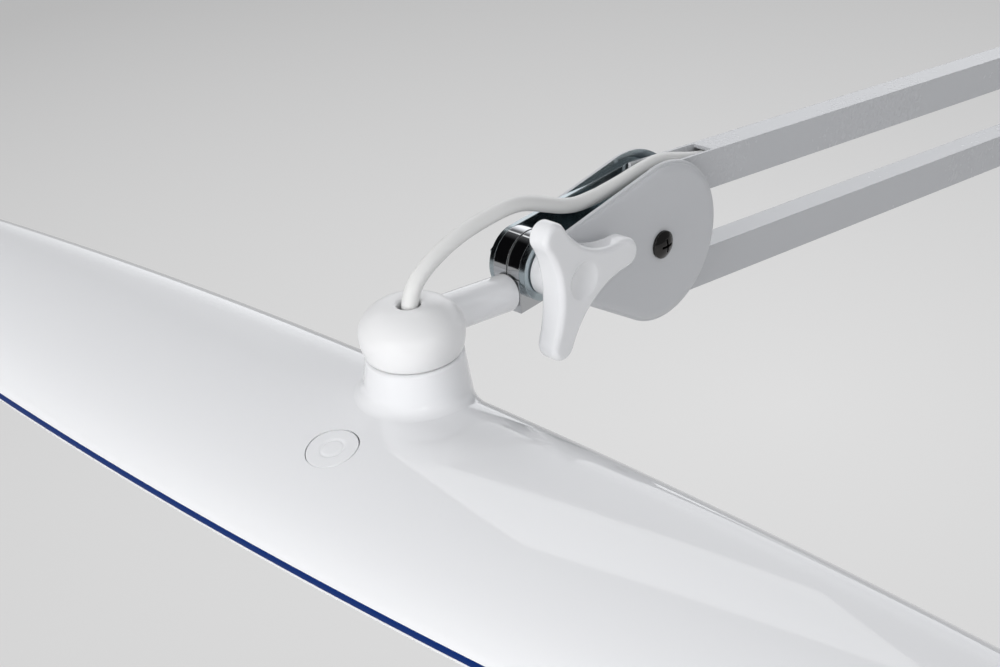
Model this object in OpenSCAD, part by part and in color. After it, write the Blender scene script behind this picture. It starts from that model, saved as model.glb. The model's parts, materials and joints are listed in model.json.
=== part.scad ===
/* [Arms] */
// Distance between the two pivots of each arm bar
arm_len = 400; // [340:10:480]
// Height of an arm bar
bar_h = 11.5; // [10.5:0.5:13]
// Width of an arm bar
bar_w = 8.4; // [7.6:0.2:10]
// Wall of an arm bar
bar_t = 1; // [0.8:0.1:1.2]
// Length of a bar past its pivot
bar_over = 8; // [7:0.5:9]
// Length of the open channel that lets the lead into a bar
channel_len = 28; // [26:1:34]
// Distance between the two pivots of one arm on a bracket
pivot_gap = 30; // [28:0.5:34]
// Fall of the forearm from the head to the elbow
fore_fall = 9.7; // [4:0.1:14]
// Lean of the lower arm away from the head
lower_lean = 8; // [4:1:12]
// Radius of the shoulder that a bar turns on
shoulder_r = 3; // [2.6:0.1:3.2]

/* [Brackets] */
// Thickness of a bracket plate
plate_t = 1.5; // [1.2:0.1:2]
// Radius of the round end of a cover
cover_r = 23.2; // [22:0.2:26]
// Radius of the narrow end of a cover
cover_tip_r = 6.4; // [5:0.2:8]
// Depth of a cover
cover_d = 2.8; // [2.4:0.1:4]
// Wall of a cover
cover_wall = 1.2; // [0.8:0.1:1.4]
// Radius of a cover screw head
screw_head_r = 4; // [3:0.1:4.6]

/* [Springs] */
// Wire thickness of a spring
wire_d = 1.4; // [1:0.1:1.6]
// Mean radius of the spring coil
coil_r = 4.6; // [4:0.1:5]
// Curls of one spring
curls = 18; // [12:1:18]
// Distance from the pivot to the spring pin on a bar
spring_reach = 112; // [105:1:130]
// Radius of a spring post
post_r = 2; // [1.6:0.1:2.4]

/* [Neck] */
// Distance from the dome axis to the tilt axis
neck_reach = 43.7; // [40:0.1:50]
// Height of the tilt axis above the dome seam
tilt_rise = 5.6; // [5:0.1:8]
// Radius of the neck tube
tube_r = 5.1; // [4.6:0.1:5.3]
// Fall of the neck tube towards the knuckle
tube_fall = 10; // [9:0.1:11]
// Radius of the dome at its seam
dome_r = 12.7; // [12.2:0.1:14]
// Height of the dome
dome_h = 13.2; // [12.8:0.1:15]
// Radius of a knuckle lug
lug_r = 8.9; // [8.2:0.1:9.4]
// Thickness of one knuckle lug
lug_t = 4.1; // [3.8:0.1:4.2]
// Radius of the swivel stem
stem_r = 5; // [4.6:0.1:5.4]

/* [Knob] */
// Reach of a knob wing from the axis
wing_reach = 22.4; // [20:0.2:25]
// Radius of a wing tip
wing_r = 4.2; // [3.8:0.1:5]
// Thickness of the knob wings
wing_t = 6.6; // [6:0.2:8]
// Radius of the knob at its narrowest, between two wings
waist_r = 8.6; // [8:0.1:10]

/* [Head] */
// Half length of the head
head_half = 262; // [220:2:300]
// Distance from the dome axis to the front edge
head_front = 56.4; // [52:0.2:62]
// Distance from the dome axis to the back edge
head_back = 15.4; // [14.6:0.2:18]
// Radius of the bow of the front and back edges
bow_r = 1850; // [1600:10:2600]
// Height of the shell above its rim
shell_h = 17.2; // [16:0.2:19]
// Wall of the shell
shell_t = 2; // [1.6:0.1:2.2]
// Depth of the rim below the dome seam
rim_z = 28; // [27:0.2:29]
// Radius of the power button
button_r = 6.7; // [6:0.1:7.4]
// Distance from the dome axis to the power button
button_y = 30.3; // [29:0.1:33]
// Light sources in one row
led_count = 42; // [20:1:48]

/* [Lead] */
// Thickness of the lead
lead_d = 4.2; // [3.8:0.1:4.6]

/* [Clamp] */
// Width of the clamp frame
clamp_w = 32; // [28:1:40]
// Largest table top that the clamp takes
jaw_gap = 62; // [50:1:70]
// Radius of the swivel post
swivel_r = 6; // [5:0.1:6.5]
// Radius of the clamp screw
clamp_screw_r = 5; // [4:0.1:5.5]

/* [Hidden] */
$fn = 64;
// Named clearances
run_gap = 0.05;
part_gap = 0.3;
wide_gap = 0.5;
open_gap = 0.15;
face_gap = 0.05;
cut_more = 1;
// Bracket plates stand either side of the bars
plate_in = bar_w/2 + wide_gap;
plate_out = plate_in + plate_t;
cover_out = plate_out + cover_d;
pin_r = shoulder_r - 1;
rivet_r = shoulder_r + 1;
rivet_t = 0.7;
spacer_r = 4;
screw_shank_r = 1.5;
screw_head_t = 2.2;
// Pivots in the arm plane, each as [y, z]
base_z = 74;
base_front = [-pivot_gap/2, base_z];
base_rear = [pivot_gap/2, base_z];
lower_dir = [sin(lower_lean), cos(lower_lean)];
elbow_front = base_front + arm_len*lower_dir;
elbow_rear = base_rear + arm_len*lower_dir;
elbow_step = [44, -52];
elbow_upper = elbow_rear - elbow_step;
elbow_lower = elbow_upper - [0, pivot_gap];
fore_dir = [cos(fore_fall), -sin(fore_fall)];
head_upper = elbow_upper - arm_len*fore_dir;
head_lower = head_upper - [0, pivot_gap];
// Tilt axis and dome seam
tilt_step = [-53.3, -2.2];
tilt_axis = head_upper + tilt_step;
seam = tilt_axis - [neck_reach, tilt_rise];
// Round end of the teardrop covers and their screw, measured from the upper pivot
cover_step = [-7.4, -14.1];
screw_step = [-10, -13.3];
// Rim of a cover, radius of its crown, and the plate's edge inside it
cover_rim = 1.1;
rim_in = 0.8;
crown_r = 420;
crown_reach = 60;
crown_ring = 10;
elbow_crown_r = 2400;
plate_inset = 2.4;
// Knuckle layers along the tilt axis
lug_gap = 0.25;
knuckle_bolt_r = 3;
bolt_head_r = 5.8;
bolt_head_t = 3;
spigot_len = 8;
tube_wall = 1.6;
washer_t = 2;
washer_r = 9;
notch_r = washer_r + 0.7;
hub_r = 7.2;
hub_len = 7.2;
hub_start = lug_gap + lug_t + washer_t + part_gap;
knob_back = lug_gap + lug_t + washer_t + hub_len;
knob_front = knob_back + wing_t;
insert_r = knuckle_bolt_r + 1.4;
insert_in = 4;
insert_end = 0.5;
wing_sweep = 1.8;
wing_edge = 1;
side_more = 0.05;
dimple_r = 5.35;
dimple_d = 1.2;
// Lower edge of the neck's lug, from the dome seam
lug_foot = -4.6;
// Springs
spring_side = bar_w/2 + 0.9 + coil_r + wire_d/2;
spring_pin_z = 3.4;
spring_pin_r = 1.5;
eye_gap = 0.3;
fore_post = elbow_upper + [12, 25];
fore_pin = elbow_upper - spring_reach*fore_dir - spring_pin_z*[fore_dir[1]*-1, fore_dir[0]];
lower_post = base_rear + [25, -2];
lower_pin = base_rear + spring_reach*lower_dir - spring_pin_z*[lower_dir[1], -lower_dir[0]];
// Head levels below the dome seam
ridge_y = -3;
ridge_shift = 0.62;
droop_r = 8000;
end_len = 34;
end_last = 80;
end_steps = 6;
mid_steps = 22;
arc_steps = 20;
collar_gap = 0.4;
collar_flare = 1.4;
collar_foot = 22;
boss_z = 20;
band_t = 2.4;
frame_t = 5;
frame_edge = 0.8;
frame_slope = 5.5;
frame_wall = 5;
lip = 5;
lip_t = 1.2;
lip_in = frame_slope + 1.8;
diffuser_t = 1.6;
plate_z = 25.7;
heat_t = 1.5;
board_t = 1.6;
led_size = [3.5, 2.8, 0.8];
led_mid = (head_back - head_front)/2;
led_step = 9;
led_rows = [led_mid - led_step, led_mid + led_step];
button_tilt = 11;
button_travel = 0.8;
button_gap = 0.25;
// Lead route between the dome and the upper bar, as [y, z] from the dome seam
lead_r = lead_d/2;
lead_up = 2.3;
head_route = [[0, -12], [0, 0], [0, 9.5], [0.8, 13.6], [3.1, 17.2], [7.3, 19.9], [12.2, 21.8], [18.4, 23.3],
    [24.5, 24], [30.6, 24.2], [36.8, 24], [42, 23.1], [46.5, 21.4], [52, 18.7], [58, 15.9], [64, 14.1],
    [72, 13.3], [81, 13.3], [90, 13.6], [98, 13.2], [105, 11], [111, 8.7], [117, 6.8], [123, 5.6], [130, 4.4]];
// Lead route over the elbow, as [y, z] from its upper pivot
elbow_route = [[-36, 8.4], [-28, 7.1], [-20, 5.9], [-9, 6.2], [4, 7.4], [18, 8], [34, 5], [49, -4],
    [59, -17], [63, -32], [60, -46], [52, -57], [46, -66], [42.8, -74], [41.4, -86], [40.1, -96]];
lead_sides = 10;
inner_gap = 0.6;
gland_reach = 40;
// Clamp frame
jaw_t = 9;
jaw_front = 38;
spine_in = 15;
spine_t = 11;
low_jaw_t = 12;
socket_r = 11;
socket_h = 30;
bush_t = 1.5;
clamp_pad_r = 12;
clamp_pad_t = 5;
clamp_screw_y = -12;
clamp_screw_len = 92;
pad_rest = 40;
tee_r = 3;
tee_len = 56;
rib_in = 4;
// Middle of the elbow, where its cover screws sit
elbow_mid = (elbow_upper + elbow_rear)/2 + [-5, -7];
// Lead inside the forearm, from its head end to its elbow end
fore_lead_0 = norm(head_route[len(head_route) - 1] - (head_upper - seam)) + inner_gap;
fore_lead_1 = arm_len - norm(elbow_route[0]) - inner_gap;
// Lead inside the lower arm
lower_lead_0 = gland_reach + 6;
lower_lead_1 = arm_len - norm(elbow_route[len(elbow_route) - 1] - elbow_step) - inner_gap;
// Belly of the dome and its height above the seam
dome_belly = dome_r + 0.8;
dome_waist = 5.6;
// Height of the tube axis at the dome and its end at the knuckle, in the head frame
tube_z = 6.7;
tube_from = 7.6;
tube_to = neck_reach - lug_r - part_gap;
// Top of the lip that the diffuser lies on
lip_z = -rim_z - band_t - frame_t + lip_t;
// Height of the shell at the power button
button_z = -rim_z + shell_h*sqrt(1 - pow((button_y + ridge_y)/(head_front + ridge_y), 2));
// Screw posts round the bottom frame
post_in = frame_wall + 2.5;
posts = [for (x = [-0.86, -0.3, 0.3, 0.86]) for (s = [-1, 1]) let (q = [x*(head_half - end_len), 1, 1])
    [q[0], s > 0 ? back_y(q, post_in) : front_y(q, post_in)]];
board_half = head_half - end_len - 8;
led_margin = 14;
// Least gap of each spring's wire to itself, over points more than half a curl apart
fore_wire = spring_path(norm(fore_pin - fore_post), post_r, spring_pin_r);
lower_wire = spring_path(norm(lower_pin - lower_post), post_r, spring_pin_r);
function self_gap(p) = min([for (i = [0:len(p) - 6]) for (j = [i + 5:len(p) - 1])
    norm(p[i] - p[j])]) - wire_d;
echo("least gap of a forearm spring to itself", self_gap(fore_wire));
echo("least gap of a lower spring to itself", self_gap(lower_wire));

// Puts a flat [y, z] drawing upright in the arm plane, from x0 to x1
module across(x0, x1) {
    translate([x0, 0, 0]) rotate([90, 0, 90]) linear_extrude(x1 - x0) children();
}

// Cylinder along X at a [y, z] point
module rod(p, r, x0, x1) {
    translate([x0, p[0], p[1]]) rotate([0, 90, 0]) cylinder(r = r, h = x1 - x0);
}

// The same rod on the near side and on the far side
module rod_pair(p, r, x0, x1) {
    rod(p, r, x0, x1);
    rod(p, r, -x1, -x0);
}

// Outline of two circles joined by their outer tangents
module teardrop(c1, r1, c2, r2) {
    d = c2 - c1;
    a = atan2(d[1], d[0]);
    s = acos((r1 - r2)/norm(d));
    function on(c, r, t) = c + r*[cos(t), sin(t)];
    translate(c1) circle(r1);
    translate(c2) circle(r2);
    polygon([on(c1, r1, a + s), on(c1, r1, a - s), on(c2, r2, a - s), on(c2, r2, a + s)]);
}

// Tube swept along a list of points with a steady up vector
function cross3(a, b) = [a[1]*b[2] - a[2]*b[1], a[2]*b[0] - a[0]*b[2], a[0]*b[1] - a[1]*b[0]];
function unit(a) = a/norm(a);
function along(p, i) = unit(p[min(i + 1, len(p) - 1)] - p[max(i - 1, 0)]);
module swept(p, r, n, up) {
    m = len(p);
    ring = [for (i = [0:m - 1]) let (t = along(p, i), u = unit(cross3(up, t)), v = cross3(t, u))
        for (j = [0:n - 1]) p[i] + r*(cos(360*j/n)*u + sin(360*j/n)*v)];
    side = [for (i = [0:m - 2]) for (j = [0:n - 1]) let (a = i*n + j, b = i*n + (j + 1)%n)
        each [[a, a + n, b], [b, a + n, b + n]]];
    first = [for (j = [0:n - 1]) j];
    last = [for (j = [n - 1:-1:0]) (m - 1)*n + j];
    polyhedron(points = ring, faces = concat(side, [first], [last]), convexity = 8);
}

// One arm bar from its pivot at the origin along +Y, with a channel in one wall at the marked ends
module bar(channels) {
    side = bar_w/2;
    tall = bar_h/2;
    difference() {
        translate([-side, -bar_over, -tall]) cube([bar_w, arm_len + 2*bar_over, bar_h]);
        translate([-side + bar_t, -bar_over - cut_more, -tall + bar_t])
            cube([bar_w - 2*bar_t, arm_len + 2*bar_over + 2*cut_more, bar_h - 2*bar_t]);
        for (y = [0, arm_len]) rod([y, 0], shoulder_r + run_gap, -side - cut_more, side + cut_more);
        for (c = channels)
            translate([-side + bar_t, c[0] == 0 ? -bar_over - cut_more : arm_len + bar_over - channel_len,
                c[1] > 0 ? 0 : -tall - cut_more])
                cube([bar_w - 2*bar_t, channel_len + cut_more, tall + cut_more]);
        rod([spring_y(channels), -spring_pin_z*channels[0][1]], spring_pin_r, -side - cut_more, side + cut_more);
    }
}
function spring_y(c) = c[0][2];

// Shoulder pin between two bracket plates, riveted over outside them
module pivot_pin(p) {
    rod(p, shoulder_r, -plate_in, plate_in);
    rod(p, pin_r, -plate_out - rivet_t, plate_out + rivet_t);
    rod_pair(p, rivet_r, plate_out, plate_out + rivet_t);
}

// Pan head screw on the near side, its head outside a cover
module cover_screw(p) {
    difference() {
        union() {
            translate([cover_out, p[0], p[1]]) rotate([0, 90, 0]) intersection() {
                cylinder(r = screw_head_r, h = screw_head_t);
                translate([0, 0, screw_head_t - screw_head_r*1.6]) sphere(screw_head_r*1.6);
            }
            rod(p, screw_shank_r, plate_in - 2, cover_out + 0.2);
        }
        for (a = [0, 90]) translate([cover_out + screw_head_t, p[0], p[1]]) rotate([a, 0, 0])
            cube([2*1.2, 0.7, 2*2], center = true);
    }
}

// What lies under a crown of radius r that tops out at x = top over a point
module under_crown(p, r, top) intersection() {
    children();
    translate([0, p[0], p[1]]) rotate([0, 90, 0]) rotate_extrude()
        polygon(concat([[0, 0], [crown_reach, 0]],
            [for (q = [crown_reach:-crown_ring:0]) [q, top - q*q/(2*r)]]));
}

// Hollow moulded cover on the near side, from its rim, crown and pocket outlines
module cover_body(p, r) {
    difference() {
        union() {
            across(plate_out, plate_out + cover_rim) children(0);
            under_crown(p, r, cover_out) across(plate_out, cover_out) children(1);
        }
        under_crown(p, r, cover_out - cover_wall) across(plate_out - cut_more, cover_out) children(2);
        rod(p, screw_shank_r + run_gap, plate_out, cover_out + cut_more);
    }
}

// Clamp and its parts

module clamp_outline() {
    polygon([[-jaw_front, 1.5], [-jaw_front + 6, jaw_t], [spine_in + spine_t - 7, jaw_t],
        [spine_in + spine_t, jaw_t - 7], [spine_in + spine_t, -jaw_gap - low_jaw_t + 8],
        [spine_in + spine_t - 8, -jaw_gap - low_jaw_t], [clamp_screw_y - 10, -jaw_gap - low_jaw_t],
        [clamp_screw_y - 10, -jaw_gap], [spine_in - 4, -jaw_gap], [spine_in, -jaw_gap + 4], [spine_in, 1.5]]);
}

module clamp_recess() {
    polygon([[spine_in + rib_in - 1, -5], [spine_in + spine_t - rib_in + 1, -5],
        [spine_in + spine_t - rib_in + 1, -jaw_gap + 4], [spine_in + rib_in - 1, -jaw_gap + 8]]);
}

module clamp_frame() color("white") difference() {
    union() {
        across(-clamp_w/2, clamp_w/2) clamp_outline();
        translate([0, 0, jaw_t - 0.5]) cylinder(r = socket_r, h = socket_h + 0.5);
        translate([0, 0, jaw_t]) cylinder(r1 = socket_r + 4, r2 = socket_r, h = 4);
    }
    for (s = [-1, 1]) translate([s*clamp_w/2, 0, 0]) across(-rib_in, rib_in) clamp_recess();
    translate([0, 0, 4]) cylinder(r = swivel_r + bush_t, h = jaw_t + socket_h);
    translate([0, clamp_screw_y, -jaw_gap - low_jaw_t - cut_more])
        cylinder(r = clamp_screw_r + run_gap, h = low_jaw_t + 2*cut_more);
}

module jaw_pad() color("dimgray")
    translate([-clamp_w/2 + 2, -jaw_front + 2, 0]) cube([clamp_w - 4, jaw_front + spine_in - 4, 1.5]);

module socket_bush() color("gray") difference() {
    union() {
        translate([0, 0, 4]) cylinder(r = swivel_r + bush_t, h = jaw_t + socket_h - 4);
        translate([0, 0, jaw_t + socket_h]) cylinder(r = socket_r - 1, h = 1.2);
    }
    translate([0, 0, 6]) cylinder(r = swivel_r + run_gap, h = jaw_t + socket_h);
}

module clamp_pad() color("dimgray") translate([0, clamp_screw_y, -pad_rest - clamp_pad_t]) difference() {
    union() {
        translate([0, 0, clamp_pad_t - 2]) cylinder(r = clamp_pad_r, h = 2);
        cylinder(r1 = clamp_pad_r - 4, r2 = clamp_pad_r, h = clamp_pad_t - 2);
    }
    translate([0, 0, -cut_more]) cylinder(r = clamp_screw_r - 1.2 + part_gap, h = 2 + cut_more + part_gap);
}

module clamp_screw() color("silver") translate([0, clamp_screw_y, -pad_rest - clamp_pad_t + 2]) difference() {
    union() {
        translate([0, 0, -5]) cylinder(r = clamp_screw_r - 1.2, h = 5);
        translate([0, 0, -clamp_screw_len]) cylinder(r = clamp_screw_r, h = clamp_screw_len - 4);
        translate([0, 0, -clamp_screw_len - 14]) cylinder(r = clamp_screw_r + 2, h = 14);
    }
    rotate([0, 90, 0]) translate([clamp_screw_len + 7, 0, -20]) cylinder(r = tee_r + run_gap, h = 40);
}

module tee_bar() color("silver")
    translate([0, clamp_screw_y, -pad_rest - clamp_pad_t + 2 - clamp_screw_len - 7]) rotate([0, 90, 0]) {
        translate([0, 0, -tee_len/2]) cylinder(r = tee_r, h = tee_len);
        for (s = [-1, 1]) translate([0, 0, s*tee_len/2]) sphere(tee_r + 1.6);
    }

// Base bracket

module base_outline() {
    teardrop(base_front, bar_over + 4, base_rear, bar_over + 4);
    translate([-pivot_gap/2 - bar_over - 4, base_z - 20]) square([pivot_gap + 2*bar_over + 8, 20]);
    teardrop(base_rear, bar_over + 1, lower_post, 6);
}

module base_bracket() color("silver") {
    floor_z = base_z - 20;
    for (s = [-1, 1]) difference() {
        across(s > 0 ? plate_in : -plate_out, s > 0 ? plate_out : -plate_in) base_outline();
        for (p = [base_front, base_rear]) rod(p, pin_r, -plate_out - cut_more, plate_out + cut_more);
        rod([0, base_z], screw_shank_r, -plate_out - cut_more, plate_out + cut_more);
        rod(lower_post, post_r, -plate_out - cut_more, plate_out + cut_more);
    }
    difference() {
        translate([-plate_out, -pivot_gap/2 - bar_over - 4, floor_z - 3])
            cube([2*plate_out, pivot_gap + 2*bar_over + 8, 3]);
        translate([0, 0, floor_z - 3 - cut_more]) cylinder(r = pin_r + 1, h = 3 + 2*cut_more);
    }
}

module swivel_post() color("silver") {
    floor_z = base_z - 20;
    translate([0, 0, 8]) cylinder(r = swivel_r, h = floor_z - 3 - 8);
    translate([0, 0, jaw_t + socket_h + 1.2 + part_gap]) cylinder(r = socket_r - 1, h = 3);
    translate([0, 0, floor_z - 3]) cylinder(r = pin_r + 1, h = 3);
    translate([0, 0, floor_z]) cylinder(r = pin_r + 2.2, h = 2);
}

module base_pivot_pins() color("silver") for (p = [base_front, base_rear]) pivot_pin(p);

module base_cover_shape(d) {
    teardrop(base_front, bar_over + 3 - d, base_rear, bar_over + 3 - d);
}

module base_covers() color("lightgray") for (s = [0, 1]) mirror([s, 0, 0])
    cover_body([0, base_z], crown_r) {
        base_cover_shape(0);
        base_cover_shape(rim_in);
        base_cover_shape(cover_wall);
    }

module base_cover_screws() color("dimgray") for (s = [0, 1]) mirror([s, 0, 0]) cover_screw([0, base_z]);

module base_spring_post() color("silver") post(lower_post);

// Round cross rod that carries the spring eyes, with end flanges
module post(p) {
    rod(p, post_r, -spring_side - 3, spring_side + 3);
    rod_pair(p, post_r + 1.4, spring_side + 2, spring_side + 3);
}

// Lower arm

module place_lower(p) {
    translate([0, p[0], p[1]]) rotate([90 - lower_lean, 0, 0]) children();
}

module lower_rear_bar() color("white") difference() {
    place_lower(base_rear) bar([[1, -1, spring_reach]]);
    place_lower(base_rear) translate([0, gland_reach, -bar_h]) cylinder(r = lead_r + 0.9, h = bar_h);
}

module lower_front_bar() color("white") place_lower(base_front) difference() {
    translate([-bar_w/2, -bar_over, -bar_h/2]) cube([bar_w, arm_len + 2*bar_over, bar_h]);
    translate([-bar_w/2 + bar_t, -bar_over - cut_more, -bar_h/2 + bar_t])
        cube([bar_w - 2*bar_t, arm_len + 2*bar_over + 2*cut_more, bar_h - 2*bar_t]);
    rod([0, 0], shoulder_r + run_gap, -bar_w, bar_w);
    rod([arm_len, 0], shoulder_r + open_gap, -bar_w, bar_w);
}

module spring_pin(p) {
    rod(p, spring_pin_r, -spring_side - 3, spring_side + 3);
    rod_pair(p, spring_pin_r + 1.4, spring_side + 2, spring_side + 3);
}

module lower_spring_pin() color("silver") spring_pin(lower_pin);

// Extension spring between two [y, z] points at a side distance, one wire with an eye at each end
function eye_path(r) = [for (i = [0:9]) let (t = -150 + 300*i/9) [-r*cos(t), r*sin(t)]];
function spring_path(d, r1, r2) =
    let (e1 = r1 + wire_d/2 + eye_gap, e2 = r2 + wire_d/2 + eye_gap, a0 = 3*e1, a1 = d - 3*e2,
        n = curls*8, lead_in = 8)
    concat([for (q = eye_path(e1)) [0, q[0], q[1]]], [[0, 2*e1, 0]],
        [for (i = [0:n]) let (w = min(1, i/lead_in, (n - i)/lead_in), t = 360*i/8)
            [w*coil_r*cos(t), a0 + (a1 - a0)*i/n, w*coil_r*sin(t)]],
        [[0, d - 2*e2, 0]], [for (i = [0:9]) let (q = eye_path(e2)[9 - i]) [0, d - q[0], -q[1]]]);

module spring(p, q, r1, r2) {
    d = q - p;
    for (s = [-1, 1]) translate([s*spring_side, p[0], p[1]]) rotate([atan2(d[1], d[0]), 0, 0])
        swept(spring_path(norm(d), r1, r2), wire_d/2, 6, [1, 0.02, 0.01]);
}

module lower_springs() color("silver") spring(lower_post, lower_pin, post_r, spring_pin_r);

module lower_arm_lead() color("white") place_lower(base_rear)
    translate([0, lower_lead_0, -lead_up]) rotate([-90, 0, 0])
        cylinder(r = lead_r, h = lower_lead_1 - lower_lead_0);

module cord_gland() color("white")
    place_lower(base_rear) translate([0, gland_reach, -bar_h/2]) mirror([0, 0, 1]) difference() {
        union() {
            translate([0, 0, -2.5]) cylinder(r = lead_r + 0.9, h = 4);
            cylinder(r = lead_r + 2.4, h = 1.6);
            translate([0, 0, 1.6]) cylinder(r1 = lead_r + 2, r2 = lead_r + 1, h = 9);
        }
        translate([0, 0, -4]) cylinder(r = lead_r, h = 20);
    }

// Elbow

module elbow_shape(d) {
    r = bar_over + 4 - d;
    teardrop(elbow_upper, r, elbow_lower, r);
    teardrop(elbow_upper, r, elbow_rear, r);
    teardrop(elbow_lower, r, elbow_front, r);
    teardrop(elbow_front, r, elbow_rear, r);
    polygon([elbow_upper, elbow_lower, elbow_front, elbow_rear]);
}

module elbow_plates() color("silver") for (s = [-1, 1]) difference() {
    across(s > 0 ? plate_in : -plate_out, s > 0 ? plate_out : -plate_in) union() {
        elbow_shape(0);
        teardrop(elbow_upper, bar_over + 2, fore_post, 6);
    }
    for (p = [elbow_upper, elbow_lower, elbow_front, elbow_rear])
        rod(p, pin_r, -plate_out - cut_more, plate_out + cut_more);
    rod(fore_post, post_r, -plate_out - cut_more, plate_out + cut_more);
    rod(elbow_mid, screw_shank_r, -plate_out - cut_more, plate_out + cut_more);
}

module elbow_pivot_pins() color("silver")
    for (p = [elbow_upper, elbow_lower, elbow_front, elbow_rear]) pivot_pin(p);

module elbow_covers() color("lightgray") for (s = [0, 1]) mirror([s, 0, 0])
    cover_body(elbow_mid, elbow_crown_r) {
        elbow_shape(1);
        elbow_shape(1 + rim_in);
        elbow_shape(1 + cover_wall);
    }

module elbow_cover_screws() color("dimgray") for (s = [0, 1]) mirror([s, 0, 0]) cover_screw(elbow_mid);

// Round spacer between two plates, tapped for the cover screws
module spacer(p) {
    difference() {
        rod(p, spacer_r, -plate_in, plate_in);
        rod_pair(p, screw_shank_r, plate_in - 2.2, plate_in + cut_more);
    }
}

module elbow_spacer() color("silver") spacer(elbow_mid);

module elbow_spring_post() color("silver") post(fore_post);

module elbow_lead() color("white")
    swept([for (q = elbow_route) [0, elbow_upper[0] + q[0], elbow_upper[1] + q[1]]],
        lead_r, lead_sides, [1, 0, 0]);

// Forearm

module place_fore(p) {
    translate([0, p[0], p[1]]) rotate([-fore_fall, 0, 0]) children();
}

module forearm_upper_bar() color("white") place_fore(head_upper)
    bar([[0, 1, arm_len - spring_reach], [1, 1]]);

module forearm_lower_bar() color("white") place_fore(head_lower) difference() {
    translate([-bar_w/2, -bar_over, -bar_h/2]) cube([bar_w, arm_len + 2*bar_over, bar_h]);
    translate([-bar_w/2 + bar_t, -bar_over - cut_more, -bar_h/2 + bar_t])
        cube([bar_w - 2*bar_t, arm_len + 2*bar_over + 2*cut_more, bar_h - 2*bar_t]);
    rod([0, 0], shoulder_r + open_gap, -bar_w, bar_w);
    rod([arm_len, 0], shoulder_r + run_gap, -bar_w, bar_w);
}

module forearm_spring_pin() color("silver") spring_pin(fore_pin);

module forearm_springs() color("silver") spring(fore_post, fore_pin, post_r, spring_pin_r);

module forearm_lead() color("white") place_fore(head_upper) translate([0, fore_lead_0, lead_up])
    rotate([-90, 0, 0]) cylinder(r = lead_r, h = fore_lead_1 - fore_lead_0);

// Head bracket

// Teardrop from the round end to the tilt axis, drawn in by d and cut out round the knob's washer
module head_cover_shape(d) difference() {
    teardrop(head_upper + cover_step, cover_r - d, tilt_axis, cover_tip_r - d);
    translate(tilt_axis) circle(notch_r + d);
}

module bracket_plates() color("silver") for (s = [-1, 1]) difference() {
    across(s > 0 ? plate_in : -plate_out, s > 0 ? plate_out : -plate_in) {
        if (s > 0) head_cover_shape(plate_inset);
        if (s < 0) teardrop(head_upper + cover_step, cover_r - plate_inset, tilt_axis, lug_r);
    }
    for (p = [head_upper, head_lower]) rod(p, pin_r, -plate_out - cut_more, plate_out + cut_more);
    rod(head_upper + screw_step, screw_shank_r, -plate_out - cut_more, plate_out + cut_more);
    rod(tilt_axis, knuckle_bolt_r + run_gap, -plate_out - cut_more, plate_in);
}

module head_pivot_pins() color("silver") for (p = [head_upper, head_lower]) pivot_pin(p);

module bracket_spacer() color("silver") spacer(head_upper + screw_step);

module head_cover() cover_body(head_upper + screw_step, crown_r) {
    head_cover_shape(0);
    head_cover_shape(rim_in);
    head_cover_shape(cover_wall);
}

module near_cover() color("lightgray") head_cover();

module far_cover() color("lightgray") mirror([1, 0, 0]) head_cover();

module cover_screws() color("dimgray")
    for (s = [0, 1]) mirror([s, 0, 0]) cover_screw(head_upper + screw_step);

// Knuckle, its bolt and its washers

module bracket_knuckle() color("silver") difference() {
    rod(tilt_axis, lug_r, -plate_in, -lug_gap);
    rod(tilt_axis, knuckle_bolt_r + run_gap, -plate_in - cut_more, cut_more);
}

module friction_washer() color("gray") difference() {
    rod(tilt_axis, lug_r - 1, -lug_gap, lug_gap - face_gap);
    rod(tilt_axis, knuckle_bolt_r + run_gap, -1, 1);
}

module knuckle_bolt() color("silver") {
    rod(tilt_axis, knuckle_bolt_r, -plate_out, knob_back + insert_in - 2*insert_end);
    translate([-plate_out - bolt_head_t, tilt_axis[0], tilt_axis[1]]) rotate([0, 90, 0])
        cylinder(r = bolt_head_r, h = bolt_head_t, $fn = 6);
}

module knob_washer() color("lightsteelblue") difference() {
    rod(tilt_axis, washer_r, lug_gap + lug_t + face_gap, lug_gap + lug_t + washer_t);
    rod(tilt_axis, knuckle_bolt_r + run_gap, 0, 20);
}

// Three round tips joined by hollow arcs, each of which touches two tips and the waist
module wing_outline() {
    mid = wing_reach - wing_r;
    neck = waist_r - wing_r;
    far = (mid*mid - neck*neck)/(mid - 2*neck);
    function way(a) = [cos(a), sin(a)];
    difference() {
        union() {
            for (a = [0, 120, 240]) translate(mid*way(a)) circle(wing_r);
            polygon([for (a = [0, 120, 240]) for (s = [-90, 90]) mid*way(a) + wing_r*way(a + s)]);
        }
        for (a = [60, 180, 300]) rotate(a) translate([far, 0]) circle(far - waist_r + side_more);
    }
}

// Turned blank of the knob, its back swept forward to the tips
module wing_blank() translate([knob_back, tilt_axis[0], tilt_axis[1]]) rotate([0, 90, 0])
    rotate_extrude() polygon([[0, 0], [waist_r + wing_edge, 0], [wing_reach + side_more, wing_sweep],
        [wing_reach + side_more, wing_t - wing_edge], [wing_reach - wing_edge, wing_t], [0, wing_t]]);

module wing_knob() color("white") difference() {
    ball = (dimple_r*dimple_r + dimple_d*dimple_d)/(2*dimple_d);
    union() {
        intersection() {
            translate([0, tilt_axis[0], tilt_axis[1]]) across(knob_back, knob_front) wing_outline();
            wing_blank();
        }
        rod(tilt_axis, hub_r, hub_start, knob_back);
    }
    rod(tilt_axis, insert_r, 0, knob_back + insert_in);
    translate([knob_front + ball - dimple_d, tilt_axis[0], tilt_axis[1]]) sphere(ball);
}

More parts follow.
